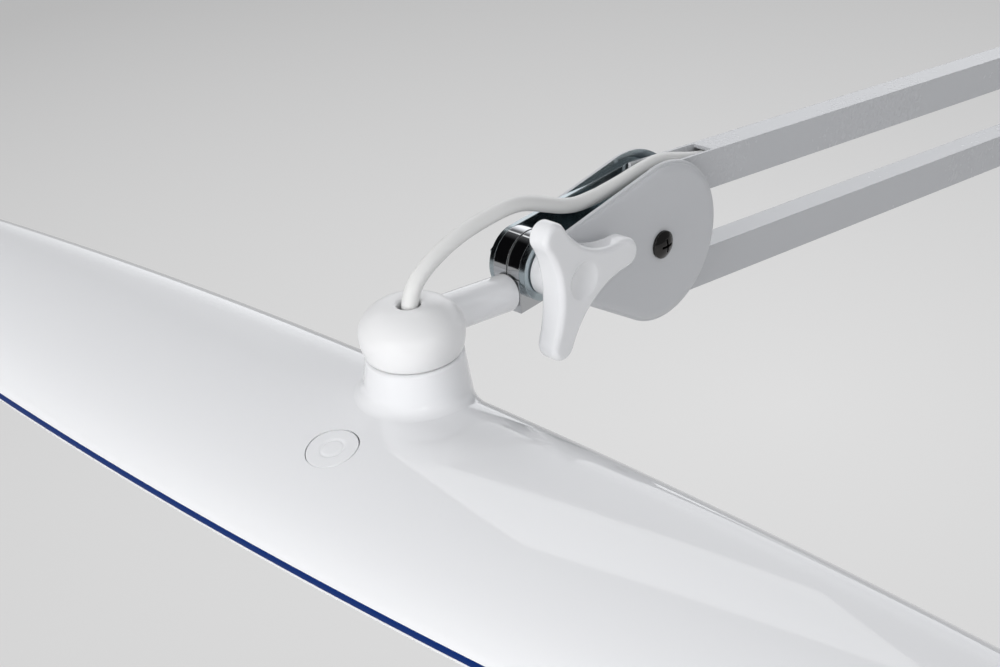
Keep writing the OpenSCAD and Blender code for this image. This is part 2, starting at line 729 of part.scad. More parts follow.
module knob_insert() color("goldenrod") difference() {
    rod(tilt_axis, insert_r, hub_start, knob_back + insert_in);
    rod(tilt_axis, knuckle_bolt_r + run_gap, 0, knob_back + insert_in - insert_end);
}

// Neck

module in_head() {
    translate([0, seam[0], seam[1]]) children();
}

module along_tube() {
    translate([0, 0, tube_z]) rotate([-tube_fall, 0, 0]) children();
}

module neck_knuckle() color("silver") difference() {
    union() {
        rod(tilt_axis, lug_r, lug_gap, lug_gap + lug_t);
        in_head() across(lug_gap, lug_gap + lug_t) polygon([[tube_to, lug_foot], [neck_reach + 2, lug_foot],
            [neck_reach + lug_r - 1, tilt_rise - 3], [neck_reach, tilt_rise], [tube_to, tilt_rise - 0.5]]);
        in_head() along_tube() translate([0, tube_to - spigot_len, 0]) rotate([-90, 0, 0])
            cylinder(r = tube_r - tube_wall, h = spigot_len + 0.5);
    }
    rod(tilt_axis, knuckle_bolt_r + run_gap, 0, 20);
    rod(tilt_axis, lug_r + part_gap, -20, lug_gap);
}

module neck_tube() color("white") in_head() difference() {
    along_tube() difference() {
        translate([0, tube_from, 0]) rotate([-90, 0, 0]) cylinder(r = tube_r, h = tube_to - tube_from - 0.5);
        translate([0, tube_to - spigot_len, 0]) rotate([-90, 0, 0])
            cylinder(r = tube_r - tube_wall, h = spigot_len + 2);
    }
    translate([0, 0, -tube_r]) cylinder(r = dome_r + collar_flare, h = tube_r);
}

module neck_dome() color("white") in_head() difference() {
    hole = lead_r + 0.9;
    flat = hole + 1;
    rotate_extrude() polygon(concat([[0, 0], [dome_r, 0]],
        [for (a = [0:7.5:82.5]) [flat + (dome_belly - flat)*cos(a), dome_waist + (dome_h - dome_waist)*sin(a)]],
        [[flat, dome_h], [0, dome_h]]));
    translate([0, 0, -1]) cylinder(r = stem_r, h = 9);
    cylinder(r = hole, h = dome_h + cut_more);
    translate([0, 0, dome_h - 1.2]) cylinder(r1 = hole, r2 = hole + 1.2, h = 1.21);
    along_tube() translate([0, tube_from, 0]) rotate([-90, 0, 0]) cylinder(r = tube_r, h = 30);
}

module swivel_stem() color("silver") in_head() difference() {
    translate([0, 0, -boss_z - 5.2]) cylinder(r = stem_r, h = boss_z + 5.2 + 8);
    translate([0, 0, -boss_z - 10]) cylinder(r = lead_r + 0.7, h = 60);
}

module swivel_washer() color("gray") in_head() difference() {
    translate([0, 0, face_gap - collar_gap]) cylinder(r = dome_r - 1.2, h = collar_gap - face_gap);
    translate([0, 0, -5]) cylinder(r = stem_r, h = 10);
}

module stem_nut() color("silver") in_head() difference() {
    union() {
        translate([0, 0, -boss_z - 1.3]) cylinder(r = stem_r + 3, h = 1);
        translate([0, 0, -boss_z - 5]) cylinder(r = stem_r + 2.8, h = 3.7, $fn = 6);
    }
    translate([0, 0, -boss_z - 10]) cylinder(r = stem_r, h = 20);
}

module head_lead() color("white")
    in_head() swept([for (q = head_route) [0, q[0], q[1]]], lead_r, lead_sides, [1, 0, 0]);

// Lamp head, in the frame of the dome seam

function bow(x) = x*x/(2*bow_r);
// Stations along the head as [x, width factor, height factor]
function stations(h) = let (m = h - end_len, e = [for (i = [1:end_steps]) let (a = end_last*i/end_steps)
        [m + end_len*sin(a), cos(a), i == end_steps ? 0 : cos(a)]])
    concat([for (i = [end_steps - 1:-1:0]) [-e[i][0], e[i][1], e[i][2]]],
        [for (i = [0:mid_steps]) [-m + 2*m*i/mid_steps, 1, 1]], e);
// Front, back and ridge of one station, drawn in by d
function front_y(s, d) = edge_y(s, -head_front + d + bow(s[0]));
function back_y(s, d) = edge_y(s, head_back - d - bow(s[0]));
function edge_y(s, y) = mid_y(s) + (y - mid_y(s))*s[1];
function mid_y(s) = (head_back - head_front)/2;
function crest_y(s) = edge_y(s, ridge_y - ridge_shift*bow(s[0]));
function crest_h(s, d) = (shell_h - d - s[0]*s[0]/(2*droop_r))*s[2];
function skin(s, d, j) = let (a = -90 + 180*j/arc_steps, c = crest_y(s))
    [s[0], c + (a < 0 ? c - front_y(s, d) : back_y(s, d) - c)*sin(a), -rim_z + crest_h(s, d)*cos(a)];

// Closed bowl between an outer and an inner skin
module bowl() {
    so = stations(head_half);
    si = stations(head_half - shell_t);
    m = len(so);
    n = arc_steps + 1;
    k = m*n;
    pts = concat([for (s = so) for (j = [0:arc_steps]) skin(s, 0, j)],
        [for (s = si) for (j = [0:arc_steps]) skin(s, shell_t, j)]);
    grid = [for (i = [0:m - 2]) for (j = [0:arc_steps - 1]) let (a = i*n + j)
        each [[a, a + 1, a + n], [a + 1, a + n + 1, a + n],
            [k + a, k + a + n, k + a + 1], [k + a + 1, k + a + n, k + a + n + 1]]];
    edge = [for (i = [0:m - 2]) let (a = i*n, b = a + arc_steps)
        each [[a, a + n, k + a], [k + a, a + n, k + a + n], [b, k + b, b + n], [b + n, k + b, k + b + n]]];
    ends = [for (j = [0:arc_steps - 1]) let (b = (m - 1)*n + j)
        each [[j, k + j, j + 1], [j + 1, k + j, k + j + 1], [b, b + 1, k + b], [b + 1, k + b + 1, k + b]]];
    polyhedron(points = pts, faces = concat(grid, edge, ends), convexity = 6);
}

// Plan outline of the head drawn in by d
function plan_points(d) = let (s = stations(head_half - d)) concat([for (q = s) [q[0], front_y(q, d)]],
    [for (i = [len(s) - 1:-1:0]) [s[i][0], back_y(s[i], d)]]);
module plan(d) {
    polygon(plan_points(d));
}

// Closed ring round the plan whose profile is a loop of [inset, z] points
module plan_loft(profile) {
    rings = [for (q = profile) [for (p = plan_points(q[0])) [p[0], p[1], q[1]]]];
    m = len(rings);
    n = len(rings[0]);
    faces = [for (i = [0:m - 1]) for (j = [0:n - 1])
        let (a = i*n + j, b = i*n + (j + 1)%n, c = ((i + 1)%m)*n + j, d = ((i + 1)%m)*n + (j + 1)%n)
        each [[a, c, b], [b, c, d]]];
    polyhedron(points = [for (r = rings) each r], faces = faces, convexity = 6);
}

module plan_ring(d0, d1) {
    difference() {
        plan(d0);
        plan(d1);
    }
}

module at_button() {
    translate([0, -button_y, button_z]) rotate([button_tilt, 0, 0]) children();
}

module head_shell() color("white") in_head() difference() {
    union() {
        bowl();
        translate([0, 0, -collar_foot]) cylinder(r = dome_r + collar_flare, h = collar_foot - 9);
        translate([0, 0, -9.01]) cylinder(r1 = dome_r + collar_flare, r2 = dome_r, h = 9.01 - collar_gap);
    }
    translate([0, 0, -boss_z - 1]) cylinder(r = stem_r + run_gap, h = boss_z + 2);
    translate([0, 0, -collar_foot - 1]) cylinder(r = stem_r + 4, h = collar_foot - boss_z + 1);
    at_button() translate([0, 0, -6]) cylinder(r = button_r + button_gap, h = 12);
}

module accent_band() color("mediumblue") in_head() translate([0, 0, -rim_z - band_t])
    linear_extrude(band_t) plan_ring(0, shell_t);

module bottom_frame() color("white") in_head() difference() {
    union() {
        plan_loft([[0, -rim_z - band_t], [frame_wall, -rim_z - band_t],
            [lip_in, lip_z], [frame_slope + lip, lip_z],
            [frame_slope + lip, -rim_z - band_t - frame_t], [frame_slope, -rim_z - band_t - frame_t],
            [0, -rim_z - band_t - frame_edge]]);
        for (p = posts) translate([p[0], p[1], lip_z + diffuser_t + part_gap])
            cylinder(r = 2.6, h = -lip_z - diffuser_t - part_gap - plate_z - heat_t);
    }
    for (p = posts) translate([p[0], p[1], -plate_z - heat_t - 4]) cylinder(r = 1, h = 5);
}

module diffuser() color("ivory") in_head() translate([0, 0, lip_z])
    linear_extrude(diffuser_t) plan(lip_in + part_gap);

module heat_plate() color("silver") in_head() difference() {
    translate([0, 0, -plate_z - heat_t]) linear_extrude(heat_t) plan(frame_wall + 0.4);
    for (p = posts) translate([p[0], p[1], -plate_z - heat_t - 1]) cylinder(r = 1.2, h = 4);
}

module led_boards() color("white") in_head() for (y = led_rows) difference() {
    translate([-board_half, y - 5, -plate_z - heat_t - board_t]) cube([2*board_half, 10, board_t]);
    for (x = [-1, 1]) translate([x*(board_half - 4), y, -plate_z - heat_t - board_t - 1])
        cylinder(r = 1.6, h = board_t + 2);
}

module leds() color("khaki") in_head() for (y = led_rows) for (i = [0:led_count - 1])
    translate([(board_half - led_margin)*(2*i/(led_count - 1) - 1), y, -plate_z - heat_t - board_t - led_size[2]/2])
        cube(led_size, center = true);

module control_board() color("darkgreen") in_head() {
    translate([-22, -button_y - 9, -plate_z + 1.6]) cube([44, 18, board_t]);
    translate([-3, -button_y - 3, -plate_z + 1.6 + board_t]) cube([6, 6, 1.4]);
    for (x = [-18, 18]) for (y = [-6, 6]) translate([x, -button_y + y, -plate_z]) cylinder(r = 1.8, h = 1.6);
}

module plate_screws() color("silver") in_head() for (p = posts) translate([p[0], p[1], -plate_z]) {
    cylinder(r = 2.2, h = 1.3);
    translate([0, 0, -heat_t - 3.6]) cylinder(r = 1, h = heat_t + 3.7);
}

module power_button() color("white") in_head() at_button() difference() {
    union() {
        translate([0, 0, -shell_t - 0.6]) cylinder(r = button_r, h = shell_t + 0.6);
        translate([0, 0, -6]) cylinder(r = 2.4, h = 6);
    }
    translate([0, 0, -0.15]) difference() {
        cylinder(r = button_r*0.52, h = 1);
        translate([0, 0, -1]) cylinder(r = button_r*0.46, h = 3);
    }
}

clamp_frame();
jaw_pad();
socket_bush();
clamp_pad();
clamp_screw();
tee_bar();
swivel_post();
base_bracket();
base_pivot_pins();
base_covers();
base_cover_screws();
base_spring_post();
lower_rear_bar();
lower_front_bar();
lower_spring_pin();
lower_springs();
lower_arm_lead();
cord_gland();
elbow_plates();
elbow_pivot_pins();
elbow_covers();
elbow_cover_screws();
elbow_spacer();
elbow_spring_post();
elbow_lead();
forearm_upper_bar();
forearm_lower_bar();
forearm_spring_pin();
forearm_springs();
forearm_lead();
bracket_plates();
head_pivot_pins();
bracket_spacer();
near_cover();
far_cover();
cover_screws();
bracket_knuckle();
knuckle_bolt();
friction_washer();
knob_washer();
wing_knob();
knob_insert();
neck_knuckle();
neck_tube();
neck_dome();
swivel_stem();
swivel_washer();
stem_nut();
head_lead();
head_shell();
accent_band();
bottom_frame();
diffuser();
heat_plate();
led_boards();
leds();
control_board();
plate_screws();
power_button();
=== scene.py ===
import bpy
import json
import math
import numpy as np
from mathutils import Matrix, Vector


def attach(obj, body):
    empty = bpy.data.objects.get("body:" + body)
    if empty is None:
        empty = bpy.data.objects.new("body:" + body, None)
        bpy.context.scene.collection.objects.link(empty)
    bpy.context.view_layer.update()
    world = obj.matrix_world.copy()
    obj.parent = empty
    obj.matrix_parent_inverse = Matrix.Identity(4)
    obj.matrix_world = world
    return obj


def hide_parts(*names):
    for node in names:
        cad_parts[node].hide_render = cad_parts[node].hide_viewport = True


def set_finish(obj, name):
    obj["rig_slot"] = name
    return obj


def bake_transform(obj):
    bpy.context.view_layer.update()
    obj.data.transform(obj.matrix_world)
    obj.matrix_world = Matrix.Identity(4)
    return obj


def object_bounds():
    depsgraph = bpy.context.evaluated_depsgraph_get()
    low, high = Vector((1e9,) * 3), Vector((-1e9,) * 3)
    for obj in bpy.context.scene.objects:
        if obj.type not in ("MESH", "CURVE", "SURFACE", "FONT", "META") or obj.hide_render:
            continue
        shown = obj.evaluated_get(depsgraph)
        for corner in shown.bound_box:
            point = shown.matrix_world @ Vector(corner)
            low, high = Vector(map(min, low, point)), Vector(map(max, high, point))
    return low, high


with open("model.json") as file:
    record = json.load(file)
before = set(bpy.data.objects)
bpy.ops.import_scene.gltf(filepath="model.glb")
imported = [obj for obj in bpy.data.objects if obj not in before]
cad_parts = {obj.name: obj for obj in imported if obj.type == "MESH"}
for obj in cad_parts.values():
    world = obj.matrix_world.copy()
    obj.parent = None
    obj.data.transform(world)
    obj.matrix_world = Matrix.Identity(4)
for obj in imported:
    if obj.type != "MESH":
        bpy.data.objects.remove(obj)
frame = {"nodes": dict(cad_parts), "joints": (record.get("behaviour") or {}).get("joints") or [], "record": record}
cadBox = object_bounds()
scene = bpy.context.scene
nodes = frame["nodes"]
pivot = {j["name"]: np.array(j.get("pos_m") or (0, 0, 0), float) for j in frame["joints"]}
seam = pivot["head_swivel"]  # middle of the joint between dome and head
tilt = pivot["head_tilt"] * (0, 1, 1)
elbow = pivot["forearm_pitch"]
mm = 0.001
tiny, huge = 1e-6, 1e6  # keeps a division off zero, and a reach that never counts
print("frame:", len(nodes), "nodes")

cameraSet = {"place": (0.3053, -0.72931, 0.8133), "lens": 66.93, "sensor": 36, "near": 0.01,
             "right": (0.72678, 0.68139, -0.08658),
             "up": (-0.28471, 0.41356, 0.86482),
             "back": (0.62508, -0.60389, 0.49456)}


# sets a camera or lamp at a place, its own x, y and z along the three ways
def setPlace(thing, ways, place):
    turn = np.array(ways).T
    thing.matrix_world = Matrix([list(turn[i]) + [place[i]] for i in range(3)] + [[0, 0, 0, 1]])


eye = bpy.data.objects.new("eye", bpy.data.cameras.new("eye"))
scene.collection.objects.link(eye)
setPlace(eye, [cameraSet[k] for k in ("right", "up", "back")], cameraSet["place"])
eye.data.sensor_width, eye.data.lens, eye.data.clip_start = (cameraSet[k] for k in ("sensor", "lens", "near"))
scene.camera = eye
print("camera set")


# even angles once round
def fullTurn(sides):
    return np.linspace(0, 2 * np.pi, sides, endpoint=False)


# even angles over a quarter, both ends counted
def quarterTurn(steps):
    return np.radians(np.linspace(0, 90, steps))


# quads of a grid of rows x cols points, closed round where asked
def gridFaces(rows, cols, wrapRow=False, wrapCol=False):
    i = np.arange(rows if wrapRow else rows - 1)[:, None]
    j = np.arange(cols if wrapCol else cols - 1)[None, :]
    a, b = i * cols, ((i + 1) % rows) * cols
    k = (j + 1) % cols
    return np.stack(np.broadcast_arrays(a + j, a + k, b + k, b + j), -1).reshape(-1, 4)


# smooth shading, broken at edges sharper than the angle
def smooth(mesh, sharp):
    mesh.shade_smooth()
    mesh.set_sharp_from_angle(angle=math.radians(sharp))


def makeMesh(name, points, faces, sharp=35):
    mesh = bpy.data.meshes.new(name)
    mesh.from_pydata(np.asarray(points, float).reshape(-1, 3).tolist(), [], [list(f) for f in faces])
    mesh.validate()
    smooth(mesh, sharp)
    made = bpy.data.objects.new(name, mesh)
    scene.collection.objects.link(made)
    return made


# several (points, faces) as one, with the face numbers moved up
def joinParts(*parts):
    starts = np.cumsum([0] + [len(p.reshape(-1, 3)) for p, f in parts[:-1]])
    return (np.concatenate([p.reshape(-1, 3) for p, f in parts]),
            [[int(v) + int(s) for v in face] for (p, f), s in zip(parts, starts) for face in f])


# smooth curve through the points, each stretch a cubic with its end slopes from its neighbours, in even steps
def roundPath(path, step, perStretch=24, fewest=4):
    p = np.asarray(path, float)
    q = np.vstack([2 * p[0] - p[1], p, 2 * p[-1] - p[-2]])
    t = np.linspace(0, 1, perStretch, endpoint=False)[None, :, None]
    a, b, c, d = (q[k:len(q) - 3 + k, None, :] for k in range(4))
    curve = 0.5 * (2 * b + (c - a) * t + (2 * a - 5 * b + 4 * c - d) * t ** 2 + (3 * b - a - 3 * c + d) * t ** 3)
    curve = np.vstack([curve.reshape(-1, 3), p[-1:]])
    run = np.concatenate([[0], np.cumsum(np.linalg.norm(np.diff(curve, axis=0), axis=1))])
    even = np.linspace(0, run[-1], max(fewest, int(run[-1] / step)))
    return np.stack([np.interp(even, run, curve[:, k]) for k in range(3)], 1), run[-1]


# ring of points round each path point, in the plane square to the path, with a flat cap at each end
def tubeMesh(path, radius, sides, up):
    along = np.gradient(path, axis=0)
    along /= np.linalg.norm(along, axis=1)[:, None]
    side = np.cross(np.asarray(up, float), along)
    side /= np.linalg.norm(side, axis=1)[:, None]
    over = np.cross(along, side)
    turn = fullTurn(sides)[None, :, None]
    ring = path[:, None, :] + radius * (np.cos(turn) * side[:, None, :] + np.sin(turn) * over[:, None, :])
    rows = len(path)
    caps = [list(range(sides))[::-1], list(range((rows - 1) * sides, rows * sides))]
    return ring, gridFaces(rows, sides, wrapCol=True).tolist() + caps


# profile of (radius, height) points carried round an upright axis
def turned(profile, middle, sides=96):
    p = np.asarray(profile, float)
    turn = fullTurn(sides)
    points = np.stack([p[:, :1] * np.cos(turn), p[:, :1] * np.sin(turn), np.repeat(p[:, 1:], sides, 1)], -1)
    return points * mm + middle, gridFaces(len(p), sides, wrapCol=True)[:, ::-1]


# runs are y and z in mm, from the seam for neck and bar, from the elbow for elbow and drop
leadSet = {"thick": 4.2, "step": 1.2, "sides": 24, "sharp": 50,
           "neckRun": [(0, -4), (0, 0), (0, 9.5), (0.8, 13.6), (3.1, 17.2), (7.3, 19.9), (12.2, 21.8),
                       (18.4, 23.3), (24.5, 24), (30.6, 24.2), (36.8, 24), (42, 23.1), (46.5, 21.4),
                       (52, 18.7), (58, 15.9), (64, 14.1), (72, 13.3)],
           "neckBend": ((0, 6, 20), (0, 66, 20)),
           "barRun": [(72, 13.3), (81, 13.3), (90, 13.6), (98, 13.2), (105, 11), (111, 8.7), (117, 6.8),
                      (123, 5.6), (130, 4.4)],
           "barBend": ((0, 80, 10), (0, 116, 10)),
           "elbowRun": [(-36, 8.4), (-28, 7.1), (-20, 5.9), (-9, 6.2), (4, 7.4), (18, 8), (34, 5)],
           "elbowBend": ((0, -22, 6), (0, 16, 6)),
           "dropRun": [(34, 5), (49, -4), (59, -17), (63, -32), (60, -46), (52, -57), (46, -66), (42.8, -74),
                       (41.4, -86), (40.1, -96)],
           "dropBend": ((0, 50, -18), (0, 50, -84))}

leads = {}
for part, start, bodies in (("neck", seam, ("neck", "head_bracket")),
                            ("bar", seam, ("head_bracket", "forearm_upper")),
                            ("elbow", elbow, ("forearm_upper", "elbow")),
                            ("drop", elbow, ("elbow", "lower_rear"))):
    route = np.array([(0, y, z) for y, z in leadSet[part + "Run"]]) * mm + start
    path, length = roundPath(route, leadSet["step"] * mm)
    tube = tubeMesh(path, leadSet["thick"] / 2 * mm, leadSet["sides"], (1, 0, 0))
    piece = makeMesh("lead_" + part, *tube, leadSet["sharp"])
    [start + np.array(b) * mm for b in leadSet[part + "Bend"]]
    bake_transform(piece)
    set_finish(piece, "lead_white")
    leads[part] = piece
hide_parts("head_lead")
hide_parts("elbow_lead")
print("lead:", len(leads), "stretches")

headSet = {"half": 262.0, "front": 56.4, "back": 15.4, "bow": 1850.0, "droop": 8000.0, "high": 17.2, "wall": 2.0,
           "rim": 28.0, "ridge": -3.0, "ridgeShift": 0.62, "endLen": 34.0, "endLast": 80.0, "endSteps": 22,
           "midSteps": 56, "fineHalf": 18.0, "fineSteps": 60, "fineArc": (-44, -12), "arcStep": 2.0,
           "fineStep": 0.6, "sharp": 40}


# places along the head, closer near the button, with width and height factors that fall as a cosine at the ends
def stations(inset):
    h = headSet
    m = h["half"] - inset - h["endLen"]
    a = np.radians(np.linspace(0, h["endLast"], h["endSteps"] + 1)[1:])
    x = m + h["endLen"] * np.sin(a)
    wide, tall = np.cos(a), np.cos(a)
    tall[-1] = 0
    coarse = np.linspace(h["fineHalf"], m, h["midSteps"] + 1)[1:]
    fine = np.linspace(-h["fineHalf"], h["fineHalf"], h["fineSteps"] + 1)
    mid = np.concatenate([-coarse[::-1], fine, coarse])
    one = np.ones_like(mid)
    return [np.concatenate(p) for p in ((-x[::-1], mid, x), (wide[::-1], one, wide), (tall[::-1], one, tall))]


# front edge, back edge and ridge of the plan: each bows in with the square of x, drawn to the middle by the width
def planEdges(x, wide, inset):
    h = headSet
    bow = x * x / (2 * h["bow"])
    mid = (h["back"] - h["front"]) / 2
    lines = -h["front"] + inset + bow, h["back"] - inset - bow, h["ridge"] - h["ridgeShift"] * bow
    return [mid + (y - mid) * wide for y in lines]


# half ellipse over each station, its crest on the ridge line, so front and back have their own widths
def skinPoints(inset):
    h = headSet
    x, wide, tall = stations(inset)
    front, back, crest = planEdges(x, wide, inset)
    low, high = h["fineArc"]
    a = np.radians(np.concatenate([np.arange(-90, low, h["arcStep"]), np.arange(low, high, h["fineStep"]),
                                   np.arange(high, 90 + h["arcStep"] / 2, h["arcStep"])]))[None, :]
    reach = np.where(a < 0, (crest - front)[:, None], (back - crest)[:, None])
    rise = (h["high"] - inset - x * x / (2 * h["droop"])) * tall
    return np.stack([np.repeat(x[:, None], a.shape[1], 1), crest[:, None] + reach * np.sin(a),
                     -h["rim"] + rise[:, None] * np.cos(a)], -1)


# height of the outer skin over a point near the middle of the head, on the same half ellipses
def skinHeight(x, y):
    h = headSet
    front, back, crest = planEdges(x, 1.0, 0.0)
    reach = np.where(y < crest, crest - front, back - crest)
    arch = np.sqrt(np.clip(1 - ((y - crest) / reach) ** 2, 0, 1))
    return -h["rim"] + (h["high"] - x * x / (2 * h["droop"])) * arch


# outer skin, inner skin, and the strips that join them along the rim and at the two ends
def shellMesh():
    outer, inner = skinPoints(0), skinPoints(headSet["wall"])
    rows, cols = outer.shape[:2]
    k = rows * cols
    g = gridFaces(rows, cols)
    i = np.arange(rows - 1)[:, None] * cols
    rimFront = np.concatenate([i, i + cols, i + cols + k, i + k], 1)
    rimBack = np.concatenate([i, i + k, i + cols + k, i + cols], 1) + cols - 1
    j = np.arange(cols - 1)[:, None]
    endLow = np.concatenate([j, j + k, j + 1 + k, j + 1], 1)
    endHigh = np.concatenate([j, j + 1, j + 1 + k, j + k], 1) + (rows - 1) * cols
    faces = np.concatenate([g[:, ::-1], g + k, rimFront, rimBack, endLow, endHigh])
    return np.concatenate([outer.reshape(-1, 3), inner.reshape(-1, 3)]) * mm + seam, faces


buttonSet = {"radius": 6.65, "gap": 0.33, "y": 30.3, "lean": 11.0, "rings": 60, "sides": 160, "tip": 1e-3,
             "soft": 0.22, "softSteps": (30, 60, 90), "ringAt": 2.9, "ringWide": 0.45, "ringDeep": 0.22,
             "sink": 0.02, "skirt": 2.6, "boreUp": 6, "boreDown": 9, "sharp": 60}


# upright round bar with flat ends, leant with the button, that bores the shell
def boreMesh():
    b, lean = buttonSet, math.radians(buttonSet["lean"])
    wide = b["radius"] + b["gap"]
    points, faces = turned([(wide, b["boreUp"]), (wide, -b["boreDown"])], np.zeros(3), b["sides"])
    ends = [list(range(b["sides"])), list(range(b["sides"], 2 * b["sides"]))[::-1]]
    tip = np.array([[1, 0, 0], [0, math.cos(lean), -math.sin(lean)], [0, math.sin(lean), math.cos(lean)]])
    at = np.array([0, -b["y"], float(skinHeight(0.0, -b["y"]))]) * mm + seam
    return points.reshape(-1, 3) @ tip.T + at, faces.tolist() + ends


shell = makeMesh("shell", *shellMesh(), headSet["sharp"])
bore = makeMesh("bore", *boreMesh())
cut = shell.modifiers.new("bore", "BOOLEAN")
cut.object, cut.operation, cut.solver = bore, "DIFFERENCE", "EXACT"
whole = bpy.data.meshes.new_from_object(shell.evaluated_get(bpy.context.evaluated_depsgraph_get()))
shell.modifiers.clear()
shell.data = whole
smooth(whole, headSet["sharp"])
bpy.data.objects.remove(bore)
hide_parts("head_shell")
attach(shell, "head")
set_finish(shell, "gloss_white")
print("shell:", len(whole.polygons), "faces")

collarSet = {"top": -0.42, "radius": 12.7, "flare": 1.35, "fillet": 3.4, "lip": 1.1, "sides": 180, "steps": 22,
             "lipSteps": 8, "backRoom": 0.5, "leastRun": 0.4, "leastWall": 0.6, "sink": 0.05, "shut": 2.0,
             "sharp": 60}


# conical wall whose foot runs out on the shell along a curve with one corner point, narrower near the back edge
def collarMesh():
    c = collarSet
    turn = fullTurn(c["sides"])
    cs, sn = np.cos(turn), np.sin(turn)
    foot = c["radius"] + c["flare"]
    room = np.where(sn > 0, (headSet["back"] - c["backRoom"]) / np.maximum(sn, tiny), huge)
    run = np.clip(room - foot, c["leastRun"], c["fillet"])
    lowest = skinHeight((foot + run) * cs, (foot + run) * sn)
    corner = skinHeight(foot * cs, foot * sn)
    rise = np.minimum(c["fillet"], c["top"] - c["lip"] - c["leastWall"] - corner)
    t = np.linspace(0, 1, c["steps"])[:, None]
    wall = foot - c["flare"] * rise / (c["top"] - corner)
    radius = (1 - t) ** 2 * (foot + run) + 2 * t * (1 - t) * foot + t ** 2 * wall
    height = (1 - t) ** 2 * (lowest - c["sink"]) + 2 * t * (1 - t) * corner + t ** 2 * (corner + rise)
    lip = quarterTurn(c["lipSteps"])[:, None]
    topRadius = c["radius"] - c["lip"] * (1 - np.cos(lip)) + 0 * turn
    topHeight = c["top"] - c["lip"] * (1 - np.sin(lip)) + 0 * turn
    radius = np.concatenate([radius, topRadius, np.full((1, c["sides"]), c["shut"])])
    height = np.concatenate([height, topHeight, np.full((1, c["sides"]), c["top"])])
    points = np.stack([radius * cs, radius * sn, height], -1) * mm + seam
    return points, gridFaces(len(radius), c["sides"], wrapCol=True)


collar = makeMesh("collar", *collarMesh(), collarSet["sharp"])
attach(collar, "head")
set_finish(collar, "gloss_white")
print("collar made")

# inset from the plan's outline and height below the seam
bandSet = {"band": [(2.0, -28.05), (0.2, -28.05), (0.05, -28.1), (0, -28.25), (0, -30.2), (0.05, -30.35),
                    (0.2, -30.38), (2.0, -30.38)],
           "frame": [(5.0, -30.42), (0.25, -30.42), (0.07, -30.48), (0, -30.65), (0, -31.0), (0.12, -31.25),
                     (0.45, -31.55), (5.0, -35.0), (5.5, -35.33), (6.2, -35.4), (10.3, -35.4), (10.5, -35.2),
                     (10.5, -34.2), (7.3, -34.2)],
           "sharp": 50}


# a profile of (inset, height) points carried round the plan's outline, closed both ways
def ringMesh(profile):
    rings = []
    for inset, z in profile:
        x, wide = stations(inset)[:2]
        front, back = planEdges(x, wide, inset)[:2]
        loop = np.concatenate([np.stack([x, front], 1), np.stack([x, back], 1)[::-1]])
        rings.append(np.column_stack([loop, np.full(len(loop), z)]))
    points = np.array(rings)
    return points * mm + seam, gridFaces(len(profile), points.shape[1], wrapRow=True, wrapCol=True)[:, ::-1]


bands = []
for name, node, slot in (("band", "accent_band", "blue"), ("frame", "bottom_frame", "gloss_white")):
    piece = makeMesh(name + "_ring", *ringMesh(bandSet[name]), bandSet["sharp"])
    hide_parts(node)
    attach(piece, "head")
    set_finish(piece, slot)
    bands.append(piece)
print("edge rings:", len(bands))


# round cap that follows the shell's own skin, with a soft edge, a fine ring pressed into it and a skirt below
def buttonMesh():
    b = buttonSet
    turn = fullTurn(b["sides"])
    edge = np.radians(b["softSteps"])
    radius = np.concatenate([np.linspace(b["tip"], b["radius"] - b["soft"], b["rings"]),
                             b["radius"] - b["soft"] * (1 - np.sin(edge))])
    drop = np.concatenate([np.zeros(b["rings"]), b["soft"] * (1 - np.cos(edge))])
    drop = drop + b["ringDeep"] * np.exp(-((radius - b["ringAt"]) / b["ringWide"]) ** 2)
    x, y = radius[:, None] * np.cos(turn), radius[:, None] * np.sin(turn) - b["y"]
    top = np.stack([x, y, skinHeight(x, y) - drop[:, None] - b["sink"]], -1)
    skirt = top[-1:] - np.array([0, 0, b["skirt"]])
    faces = gridFaces(len(radius) + 1, b["sides"], wrapCol=True)[:, ::-1].tolist() + [list(range(b["sides"]))]
    return np.concatenate([top, skirt]) * mm + seam, faces


button = makeMesh("button", *buttonMesh(), buttonSet["sharp"])
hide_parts("power_button")
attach(button, "button")
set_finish(button, "gloss_white")
print("button made")

domeSet = {"foot": 12.5, "belly": 13.5, "high": 13.2, "hole": 3.0, "lip": 0.9, "waist": 5.6, "sideFrom": 0.3,
           "footSoft": ((0.6, 0.05), (0.2, 0.1)), "holeTo": 4.0, "sideSteps": 14, "crownSteps": 30,
           "rimSteps": 10, "sharp": 60}


# foot drawn in to the seam, round belly, low crown and a soft edge down into the lead's hole
def domeProfile():
    d = domeSet
    low = np.linspace(-1, 0, d["sideSteps"])
    up, rim = quarterTurn(d["crownSteps"])[1:], quarterTurn(d["rimSteps"])[1:]
    flat = d["hole"] + d["lip"]
    foot = [(d["foot"] - inset, z) for inset, z in d["footSoft"]]
    side = np.column_stack([d["foot"] + (d["belly"] - d["foot"]) * (1 - low ** 2),
                            d["waist"] + (d["waist"] - d["sideFrom"]) * low])
    crown = np.column_stack([flat + (d["belly"] - flat) * np.cos(up),
                             d["waist"] + (d["high"] - d["waist"]) * np.sin(up)])
    edge = np.column_stack([flat - d["lip"] * np.sin(rim), d["high"] - d["lip"] * (1 - np.cos(rim))])
    return np.vstack([foot, side, crown, edge, [(d["hole"], d["holeTo"])]])


dome = makeMesh("dome", *turned(domeProfile(), seam), domeSet["sharp"])
dome.data.flip_normals()  # the profile runs upwards
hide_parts("neck_dome")
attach(dome, "neck")
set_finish(dome, "satin_white")
print("dome made")

